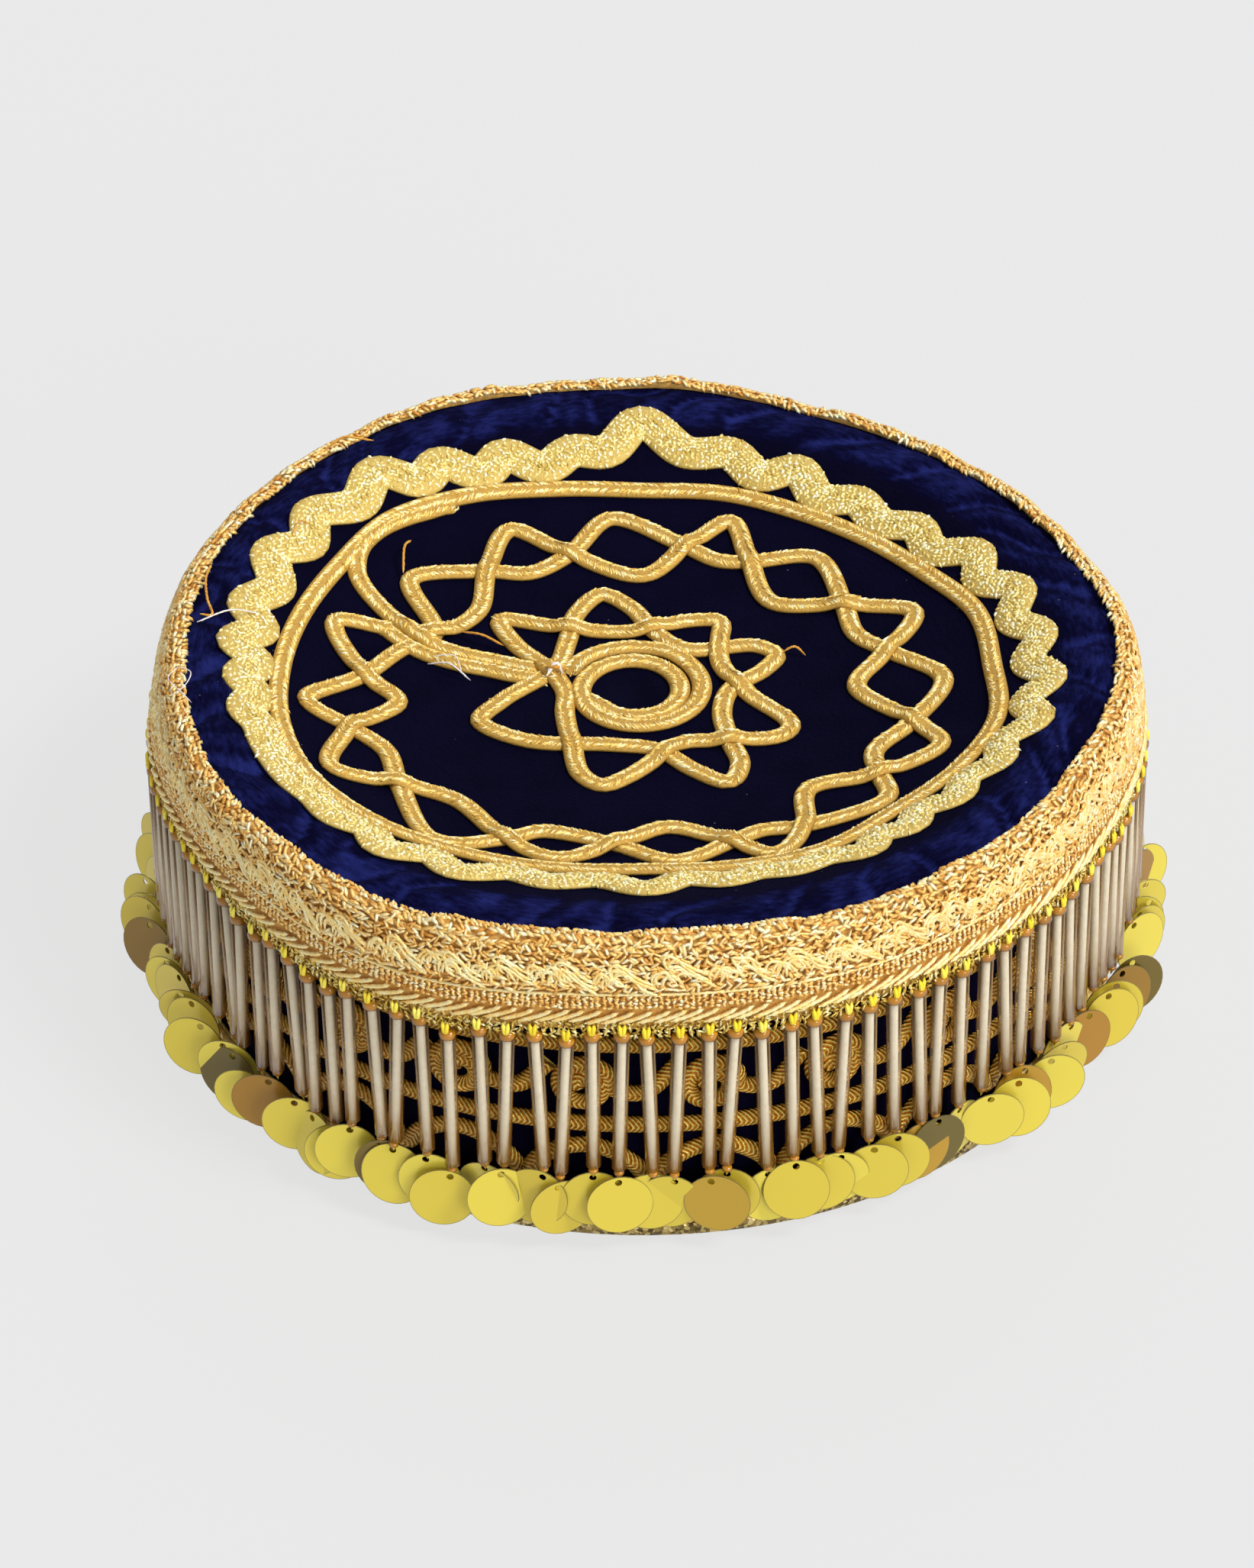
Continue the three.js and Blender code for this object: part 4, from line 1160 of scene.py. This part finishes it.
def on_side(points, is_loop, step):
    """A route on the wall from points of distance round and height. A loop's points go once
    round, and its last point is its first one."""
    girth, z = along_curve(points, False, step).T
    if is_loop:
        girth, z = girth[:-1], z[:-1]
    angle = girth / SIDE_GIRTH * 2 * np.pi
    up = polar(1, angle, 0)
    return course(polar(side_radius(angle, z) + SEAM_GAP, angle, z), up, is_loop)


def level_route(height, step):
    return on_side([(share * SIDE_GIRTH, height) for share in (0, 0.5, 1)], True, step)


def side_strip(route):
    return strip(route, SIDE_CORD_SPREAD * SIDE_CORD_WIDTH, SIDE_CORD_HEIGHT)


def chevron_finish():
    """Herringbone of gold thread, from the UV map's distance along and share round, with painted
    highlight on its ridges and painted shade in its grooves.
    """
    cord = Finish("side_cord_gold", {"Metallic": 0.4, "Roughness": 0.3, "Specular IOR Level": 0.3})
    along, about, _ = cord.axes(cord.node("ShaderNodeTexCoord").outputs["UV"])
    fold = (about * len(STRIP) / (len(STRIP) - 1) - 0.5).math("ABSOLUTE") * CHEVRON_SLOPE
    ridge_shade_and_relief = ((along / CHEVRON_PITCH + fold) * (2 * math.pi)).math("SINE") * 0.5 + 0.5
    fleck = cord.grain(cord.place(), 0.5, 2.0)
    # Painted highlight and shade: the ridges are painted lighter and the grooves between them darker,
    # besides the random flecks.
    tone = ridge_shade_and_relief * 0.6 + fleck * 0.8 - 0.2
    stops = [(0.2, (0.42, 0.12, 0.004)), (0.45, (1.0, 0.42, 0.02)), (0.75, (1.0, 0.80, 0.20))]
    return cord.wear(Base_Color=cord.ramp(tone, stops), Normal=cord.bump(ridge_shade_and_relief + fleck, 0.4))


CHEVRON = chevron_finish()


def level_cord(name, height, node):
    step = 1.2
    piece = lofted(name, [side_strip(level_route(height, step))], CHEVRON, step)
    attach(piece, "root")
    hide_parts(node)


def scroll_plan(middle, spacing):
    """A scroll's coil, unrolled to the right into the rising line to the next one."""
    turn = np.arange(0, SCROLL_TURNS, 1 / 10)
    growth = np.minimum(turn / SCROLL_OPENING_TURNS, 1)
    radius = SCROLL_EYE_RADIUS + (SCROLL_RADIUS - SCROLL_EYE_RADIUS) * growth
    angle = SCROLL_START - 2 * np.pi * turn
    coil = np.stack([middle + radius * np.cos(angle), SCROLL_HEIGHT + radius * np.sin(angle)], -1)
    leave = [(middle + 0.45 * spacing, SCROLL_HEIGHT - 1.5)]
    leave += [(middle + 0.72 * spacing, SCROLL_HEIGHT + 4.6)]
    return np.vstack([coil, leave])


def side_scrolls():
    spacing = SIDE_GIRTH / SCROLL_COUNT
    lofts = []
    for i in range(SCROLL_COUNT):
        route = on_side(scroll_plan((i + 0.5) * spacing, spacing), False, 1.0)
        lofts.append(side_strip(route))
    girth = np.linspace(0, SIDE_GIRTH, SCROLL_COUNT * 8 + 1)
    arch = ARCH_FOOT + ARCH_RISE * np.abs(np.sin(np.pi * girth / spacing)) ** 0.8
    lofts.append(side_strip(on_side(np.stack([girth, arch], -1), True, 1.0)))
    piece = lofted("side_scrolls", lofts, CHEVRON, step=1.0)
    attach(piece, "root")


level_cord("upper_level_cord", UPPER_CORD_HEIGHT, "upper_side_cord")
level_cord("lower_level_cord", LOWER_CORD_HEIGHT, "lower_side_cord")
side_scrolls()

# The hem braid
# Three twisted ropes of copper gold thread, sewn side by side on a tape round the foot.
# The tape is a thin ring with a flat back, and each rope is a twisted tube that lies on it.

HEM_FOOT = BINDING_HEIGHT + SEAM_GAP
HEM_WIDTH = 6.6
HEM_ROPES = 3
HEM_ROPE_RADIUS = 1.05
HEM_ROPE_PITCH = 2.1
HEM_ROPE_LIFT = 0.75


def hem_ropes():
    def section(angle):
        z = HEM_FOOT + HEM_WIDTH * np.array([0.04, 0.3, 0.7, 0.96, 0.96, 0.04])
        proud = np.array([0.5, 0.6, 0.6, 0.5, 0.0, 0.0])
        return side_radius(angle, z) + SEAM_GAP + proud, z + 0 * angle

    lofts = [(ring(SIDE_SIDES, section), True)]
    for k in range(HEM_ROPES):
        height = HEM_FOOT + HEM_WIDTH * (k + 0.5) / HEM_ROPES
        route = level_route(height, 0.55)
        lofts.append(rope(route, HEM_ROPE_RADIUS, HEM_ROPE_PITCH, lift=HEM_ROPE_LIFT))
    piece = toned(lofted("hem_ropes", lofts, COPPER_ROPE), 0.05, 0.85)
    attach(piece, "root")
    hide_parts("hem_braid")


hem_ropes()

# The fringe
# Each strand hangs from the lace by a loop of yellow thread: an amber seed bead, a clear
# glass bugle bead with a silver lining, a small end bead and a gold sequin.

STRAND_COUNT = 112
STRAND_STRAY = 0.12
STRAND_LEAN = 1.4
STRAND_DROP = 2.2
FRINGE_SPLAY = 0.4
FOOT_STRAY = 0.4
BUGLE_LENGTH = 29.0
LENGTH_STRAY = 0.5
CORE_DIAMETER = 1.6
GLASS_SPREAD = 1.06
SEED_HEIGHT = 1.8
SEED_DIAMETER = 3.3
END_BEAD_HEIGHT = 1.1
END_BEAD_DIAMETER = 1.9
THREAD_LENGTH = 0.8
THREAD_LEAN = 0.16
SEQUIN_DIAMETER = 12.0
SEQUIN_THICKNESS = 0.2
SEQUIN_SIDES = 32
SEQUIN_STRAY = 0.18
SEQUIN_SHARP_EDGE = math.radians(50)
ODD_SEQUINS = 0.2
# A sequin's hole, as shares of its diameter: its radius and its distance from the middle.
HOLE_RADIUS = 0.055
HOLE_OFFSET = 0.4
# How far the flat face goes, from the hole at 0 to the edge at 1, before the dark rim.
FLAT_SHARE = 0.955

HEM_THICKNESS = 1.6
DOWN = np.array([0.0, 0.0, -1.0])
TOWARDS_FRONT = np.array([0.0, -1.0, 0.0])

Strands = namedtuple("Strands", "out side top foot fall tone")


def fringe_strands(chance):
    """Each strand's outward and sideways directions, its bugle's two ends and its tone."""
    number = np.arange(STRAND_COUNT)

    def stray(reach):
        return reach * chance.uniform(-1, 1, STRAND_COUNT)

    angle = (number + stray(STRAND_STRAY)) * 2 * np.pi / STRAND_COUNT
    radius = fringe_radius(angle)
    splayed = radius + FRINGE_SPLAY * around(angle, "flare")
    foot_radius = np.maximum(splayed, clear_of_cord(angle, 0)) + stray(FOOT_STRAY)
    drop = STRAND_DROP * chance.uniform(0, 1, STRAND_COUNT) ** 4
    head = edge_height(angle) + BRAID_LIP - BRAID_WIDTH - SEAM_GAP - SEED_HEIGHT
    out = polar(1, angle, 0)
    side = np.cross([0, 0, 1], out)
    top = polar(radius, angle, head - drop)
    lean = STRAND_LEAN * (0.4 * (-1.0) ** number + stray(0.8))
    length = BUGLE_LENGTH + stray(LENGTH_STRAY)
    foot = polar(foot_radius, angle, head - drop - length) + side * lean[:, None]
    return Strands(out, side, top, foot, unit_rows(foot - top), chance.uniform(0, 1, STRAND_COUNT))


def turned(profile, sides):
    """A bead turned from lengths and radii, with its axis along X from 0."""
    angle = np.linspace(0, 2 * np.pi, sides, endpoint=False)
    points = [(x, r * math.cos(a), r * math.sin(a)) for x, r in profile for a in angle]
    faces = [list(range(sides))[::-1]]
    for row in range(len(profile) - 1):
        for k in range(sides):
            here, turn = row * sides, (k + 1) % sides
            faces.append([here + k, here + turn, here + sides + turn, here + sides + k])
    faces.append([(len(profile) - 1) * sides + k for k in range(sides)])
    return points, faces


def sequin():
    """A thin flat disc with a small hole. The hole is at 0 and the disc hangs along X."""
    sides = SEQUIN_SIDES
    angle = np.linspace(0, 2 * np.pi, sides, endpoint=False)
    rounds = []
    for share, face in ((0, 1), (FLAT_SHARE, 1), (1, 1), (1, -1), (0, -1)):
        radius = HOLE_RADIUS + (0.5 - HOLE_RADIUS) * share
        x = HOLE_OFFSET * min(1, share / FLAT_SHARE) + radius * np.cos(angle)
        z = np.full(sides, face * SEQUIN_THICKNESS / SEQUIN_DIAMETER / 2)
        rounds.append(np.stack([x, radius * np.sin(angle), z], -1))
    faces = []
    for row in range(len(rounds)):
        here, after = row * sides, (row + 1) % len(rounds) * sides
        for k in range(sides):
            turn = (k + 1) % sides
            faces.append([here + k, after + k, after + turn, here + turn])
    return np.vstack(rounds), faces, np.repeat([0.0, 0.0, 1.0, 1.0, 0.0], sides)


def glass_finish(name, middle, edge, clear, dense):
    """Coloured glass that is darker and less clear where it is seen edge on."""
    coat = {"Coat Weight": 0.5, "Coat Roughness": 0.02}
    glass = Finish(name, {"Roughness": 0.05, "IOR": 1.5, **coat})
    facing = glass.value("ShaderNodeLayerWeight", inputs={"Blend": 0.4}, output="Facing")
    streak = glass.grain(glass.place(), 3.0, 1.0)
    thick = glass.between(facing, 0.2, 0.62)
    shade = glass.marked("tone") * 0.3
    colour = glass.mix(shade, glass.mix(thick, middle, edge), edge)
    return glass.wear(Base_Color=colour, Alpha=clear + (dense - clear) * thick + 0.06 * streak)


def bead_places(at, along, up, size, tone):
    """Places for shapes of one size, or of a size for each."""
    stretch = np.broadcast_to(np.asarray(size, float), at.shape)
    up = np.broadcast_to(up, at.shape)
    return [Places(at, along, up, stretch, np.broadcast_to(tone, len(at)))]


def tubes(strands, diameter):
    """Places for tubes that run from each bugle's top to its foot."""
    length = np.linalg.norm(strands.foot - strands.top, axis=1)
    wide = np.full(STRAND_COUNT, diameter)
    size = np.stack([length, wide, wide], -1)
    return bead_places(strands.top, strands.fall, strands.out, size, strands.tone)


def bugle_beads(strands):
    glass = glass_finish("bugle_glass", (0.85, 0.68, 0.38), (0.24, 0.10, 0.012), 0.03, 0.85)
    bugle = turned([(0, 0.36), (0.008, 0.5), (0.992, 0.5), (1, 0.36)], 14)
    places = tubes(strands, GLASS_SPREAD * BUGLE_DIAMETER)
    piece = stitched("bugle_glass", places, glass, bugle)
    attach(piece, "root")
    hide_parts("bead_fringe")


def bugle_linings(strands):
    """The silvered bore of each bugle, seen through its glass."""
    lining = Finish("silver_lining", {"Roughness": 0.25})
    speck = lining.grain(lining.place(), 1.2, 3.0)
    silver = lining.mix(speck, (0.64, 0.54, 0.37), (0.80, 0.73, 0.57))
    silver = lining.wear(Base_Color=silver, Normal=lining.bump(speck, 0.1))
    core = turned([(0.01, 0.45), (0.02, 0.5), (0.98, 0.5), (0.99, 0.45)], 10)
    piece = stitched("bugle_lining", tubes(strands, CORE_DIAMETER), silver, core)
    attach(piece, "root")


def seed_beads(strands):
    """The amber bead over each bugle and the small one under it."""
    out, _, top, foot, fall, tone = strands
    amber = glass_finish("amber_glass", (0.62, 0.26, 0.015), (0.10, 0.035, 0.003), 0.75, 1.0)
    half = [(0, 0.22), (0.06, 0.38), (0.28, 0.5)]
    seed = turned(half + [(0.72, 0.5), (0.94, 0.38), (1, 0.22)], 12)
    seed_size = [1.15 * SEED_HEIGHT, SEED_DIAMETER, SEED_DIAMETER]
    beads = bead_places(top - fall * 1.12 * SEED_HEIGHT, fall, out, seed_size, tone)
    end_size = [END_BEAD_HEIGHT, END_BEAD_DIAMETER, END_BEAD_DIAMETER]
    ends = bead_places(foot, fall, out, end_size, tone)
    piece = stitched("seed_beads", beads + ends, amber, seed)
    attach(piece, "root")


def fringe_threads(strands):
    """The loop over each amber bead and the thread down to the sequin."""
    out, side, top, foot, fall, tone = strands
    yellow = thread_finish(
        "yellow_thread", (0.80, 0.52, 0.01), (0.98, 0.78, 0.03), (1.0, 0.92, 0.22), 0.0, 0.5
    )
    loops = []
    for lean in (-THREAD_LEAN, THREAD_LEAN):
        along = unit_rows(DOWN - 0.1 * out + lean * side)
        at = top - fall * (SEED_HEIGHT + 1.0) + out * 1.2 - side * lean * 1.8
        loops += bead_places(at, along, out, [3.4, 0.9, 0.9], 0.5 * tone + 0.3)
    loops += bead_places(foot + fall * 1.1, fall, out, [2.8, 0.6, 0.6], 0.5 * tone)
    piece = stitched("fringe_threads", loops, yellow, LENS)
    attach(piece, "root")


def foil_finish():
    """Thin gold foil with a darker rim band. The tone picks a gold, copper or dark disc."""
    foil = Finish("sequin_foil", {"Metallic": 0.35, "Coat Weight": 0.3})
    golds = [(0.24, (0.66, 0.50, 0.04)), (1.0, (0.80, 0.66, 0.07))]
    colours = [(0.0, (0.14, 0.10, 0.01)), (0.10, (0.42, 0.20, 0.012)), *golds]
    haze = foil.grain(foil.place(), 2.0, 2.0)
    rim = foil.between(foil.marked("rim"), 0.2, 0.9) * 0.8
    colour = foil.mix(rim, foil.ramp(foil.marked("tone"), colours), (0.16, 0.13, 0.05))
    return foil.wear(Base_Color=colour, Roughness=0.25 + 0.15 * haze)


def sequins(strands, chance):
    """The sequins hang clear of the hem and overlap like scales."""
    out, side, _, foot, fall, tone = strands
    hole = foot + fall * (THREAD_LENGTH + 0.9)
    towards = np.clip(0.6 - 0.9 * out[:, 1:2], 0, 0.6) * TOWARDS_FRONT
    stray = chance.normal(0, SEQUIN_STRAY, (STRAND_COUNT, 1)) * side
    face = unit_rows(0.55 * out + towards + stray)
    swing = np.radians(chance.normal(3, 4, STRAND_COUNT))[:, None]
    roll = np.radians(chance.normal(0, 12, STRAND_COUNT))[:, None]
    level = np.cross([0, 0, 1], face)
    hang = unit_rows(DOWN * np.cos(swing) + face * np.sin(swing) + level * np.sin(roll))
    reach = SEQUIN_DIAMETER / 2 * np.sqrt(np.clip(1 - (face * out).sum(1) ** 2, 0, 1)) + 0.5
    outside_hem = RIM_RADIUS + HEM_THICKNESS + SEAM_GAP + reach
    shift = np.maximum(outside_hem - (foot * out).sum(1), 0.3)[:, None]
    shift = shift + 0.35 * (np.arange(STRAND_COUNT) % 3)[:, None]
    odd = chance.uniform(0, 1, STRAND_COUNT) < ODD_SEQUINS
    shade = np.where(odd, chance.uniform(0, 0.16, STRAND_COUNT), 0.3 + 0.7 * tone)
    up = unit_rows(np.cross(hang, level))
    discs = bead_places(hole + out * shift, hang, up, SEQUIN_DIAMETER, shade)
    piece = stitched("sequins", discs, foil_finish(), sequin())
    piece.data.set_sharp_from_angle(angle=SEQUIN_SHARP_EDGE)
    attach(piece, "root")


FRINGE_CHANCE = np.random.default_rng(41)
STRANDS = fringe_strands(FRINGE_CHANCE)
bugle_beads(STRANDS)
bugle_linings(STRANDS)
seed_beads(STRANDS)
fringe_threads(STRANDS)
sequins(STRANDS, FRINGE_CHANCE)

# The loose threads
# Ends of couching and sewing thread that the maker left: tails of orange and white cotton
# round the star and the left of the edge braid, and a knot at the star. They are thin tubes.

# Each thread's points as x, y in millimetres and height over the velvet top, and its radius.
ORANGE_TAILS = [
    (
        [(-80.5, 27, 1), (-81.2, 21, 2.2), (-80.6, 14, 2.2), (-79.6, 9.5, 1.6), (-81.8, 9.6, 2.2)],
        0.32,
    ),
    ([(-43.7, 42, 1.2), (-44.8, 38, 3), (-45, 32.5, 1.4)], 0.32),
    ([(-33.7, 15.6, 1.5), (-30, 13.6, 2.6), (-26, 12, 1.4)], 0.3),
    ([(25.6, 9, 1.4), (28, 9.6, 2.2), (30, 9, 0.5)], 0.3),
    ([(-18.5, 4.5, 2), (-16.5, 2.6, 3.4), (-14.6, 4, 2.2)], 0.5),
    ([(-60, 62, 2.5), (-57, 63.5, 4), (-51, 64, 2.5)], 0.3),
    ([(-66, 36, 1), (-64.5, 39.5, 2.4), (-62.5, 41, 1)], 0.22),
]
WHITE_TAILS = [
    ([(-70.6, 13, 1), (-76, 9, 3.5), (-82, 4.5, 4)], 0.2),
    ([(-40, 5.6, 1.2), (-36, 4, 2.8), (-32, 2, 0.6)], 0.22),
    ([(-39, 7, 2), (-35, 6.2, 3), (-33.5, 3.2, 1)], 0.16),
    ([(-18, 1.6, 2), (-16.2, 3.6, 3.6), (-15, 2.2, 2.2)], 0.5),
    ([(-85, -7, 2.5), (-86.5, -12, 3.4), (-84, -15.5, 3), (-82, -18, 2.4)], 0.14),
    ([(-85, -7, 2.5), (-82.5, -10, 3.4), (-83.5, -14, 3.2), (-86, -16, 2.4)], 0.14),
]


def loose_threads(name, tails, finish):
    lofts = []
    for points, radius in tails:
        x, y, over = np.array(points, float).T
        within = np.minimum(1, 0.98 * edge_radius(np.arctan2(y, x)) / np.hypot(x, y))
        z = top_height(x * within, y * within) + over
        at = along_curve(np.stack([x, y, z], -1), False, 0.6)
        up = np.broadcast_to(unit_rows(np.array([[0.2, -0.3, 0.93]])), at.shape)
        lofts.append(rope(course(at, up, False), radius, 1.4, 5))
    piece = toned(lofted(name, lofts, finish), 0.2, 0.8)
    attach(piece, "root")


ORANGE_COTTON = thread_finish(
    "orange_cotton", (0.36, 0.13, 0.01), (0.66, 0.30, 0.03), (0.9, 0.55, 0.12), 0.0, 0.6
)
WHITE_COTTON = thread_finish(
    "white_cotton", (0.45, 0.42, 0.42), (0.78, 0.74, 0.70), (0.95, 0.93, 0.9), 0.0, 0.7
)
loose_threads("orange_tails", ORANGE_TAILS, ORANGE_COTTON)
loose_threads("white_tails", WHITE_TAILS, WHITE_COTTON)

# The floor, the light and the camera
# A pale plain floor that glows a little, so that it stays even, under a soft white sky with
# a key light from the right, one from the front and one from behind. The camera stands at
# the place, and has the long lens, that was fitted to the cap's outline.

FLOOR_SIZE = 8.0
LENS_MM = 147.6
DISTANCE = 1.1976
ELEVATION = math.radians(37.18)
ROLL = math.radians(-0.62)
TARGET = Vector((-0.00337, 0.0, 0.03577))


def studio():
    dull = {"Roughness": 0.9, "Specular IOR Level": 0.0}
    ground = Finish("studio_floor", {**dull, "Emission Strength": 0.9})
    ground.wear(Base_Color=(0.08, 0.08, 0.08), Emission_Color=(0.80, 0.80, 0.80))
    half = FLOOR_SIZE / 2
    corners = [(-half, -half, 0), (half, -half, 0), (half, half, 0), (-half, half, 0)]
    floor = bare_object("floor", corners, [[0, 1, 2, 3]])
    floor.data.materials.append(ground.material)

    world = bpy.data.worlds.new("studio")
    bpy.context.scene.world = world
    world.use_nodes = True
    sky = world.node_tree.nodes["Background"].inputs
    sky["Color"].default_value = (0.9, 0.9, 0.92, 1)
    sky["Strength"].default_value = 0.42

    # Each sun's direction from the cap, its strength and how many degrees wide it is.
    suns = {
        "key": ((0.6, -0.3, 0.9), 2.3, 18),
        "front": ((0.6, -1.0, 0.35), 1.2, 30),
        "back": ((0.1, 0.9, 0.9), 0.7, 30),
    }
    for name, (toward, energy, spread) in suns.items():
        lamp = bpy.data.lights.new(name, "SUN")
        lamp.energy = energy
        lamp.angle = math.radians(spread)
        sun = placed(name, lamp)
        sun.rotation_euler = Vector(toward).to_track_quat("Z", "Y").to_euler()


def camera():
    back = Vector((0, -math.cos(ELEVATION), math.sin(ELEVATION)))
    right = Vector((1, 0, 0))
    up = back.cross(right)
    right, up = (
        math.cos(ROLL) * right + math.sin(ROLL) * up,
        math.cos(ROLL) * up - math.sin(ROLL) * right,
    )
    lens_data = bpy.data.cameras.new("camera")
    lens_data.lens = LENS_MM
    lens_data.sensor_width = 36
    lens_data.clip_end = 20
    eye = placed("camera", lens_data)
    turn = Matrix((right, up, back)).transposed().to_4x4()
    eye.matrix_world = Matrix.Translation(TARGET + back * DISTANCE) @ turn
    bpy.context.scene.camera = eye


studio()
camera()
bpy.context.scene.view_settings.view_transform = "Standard"
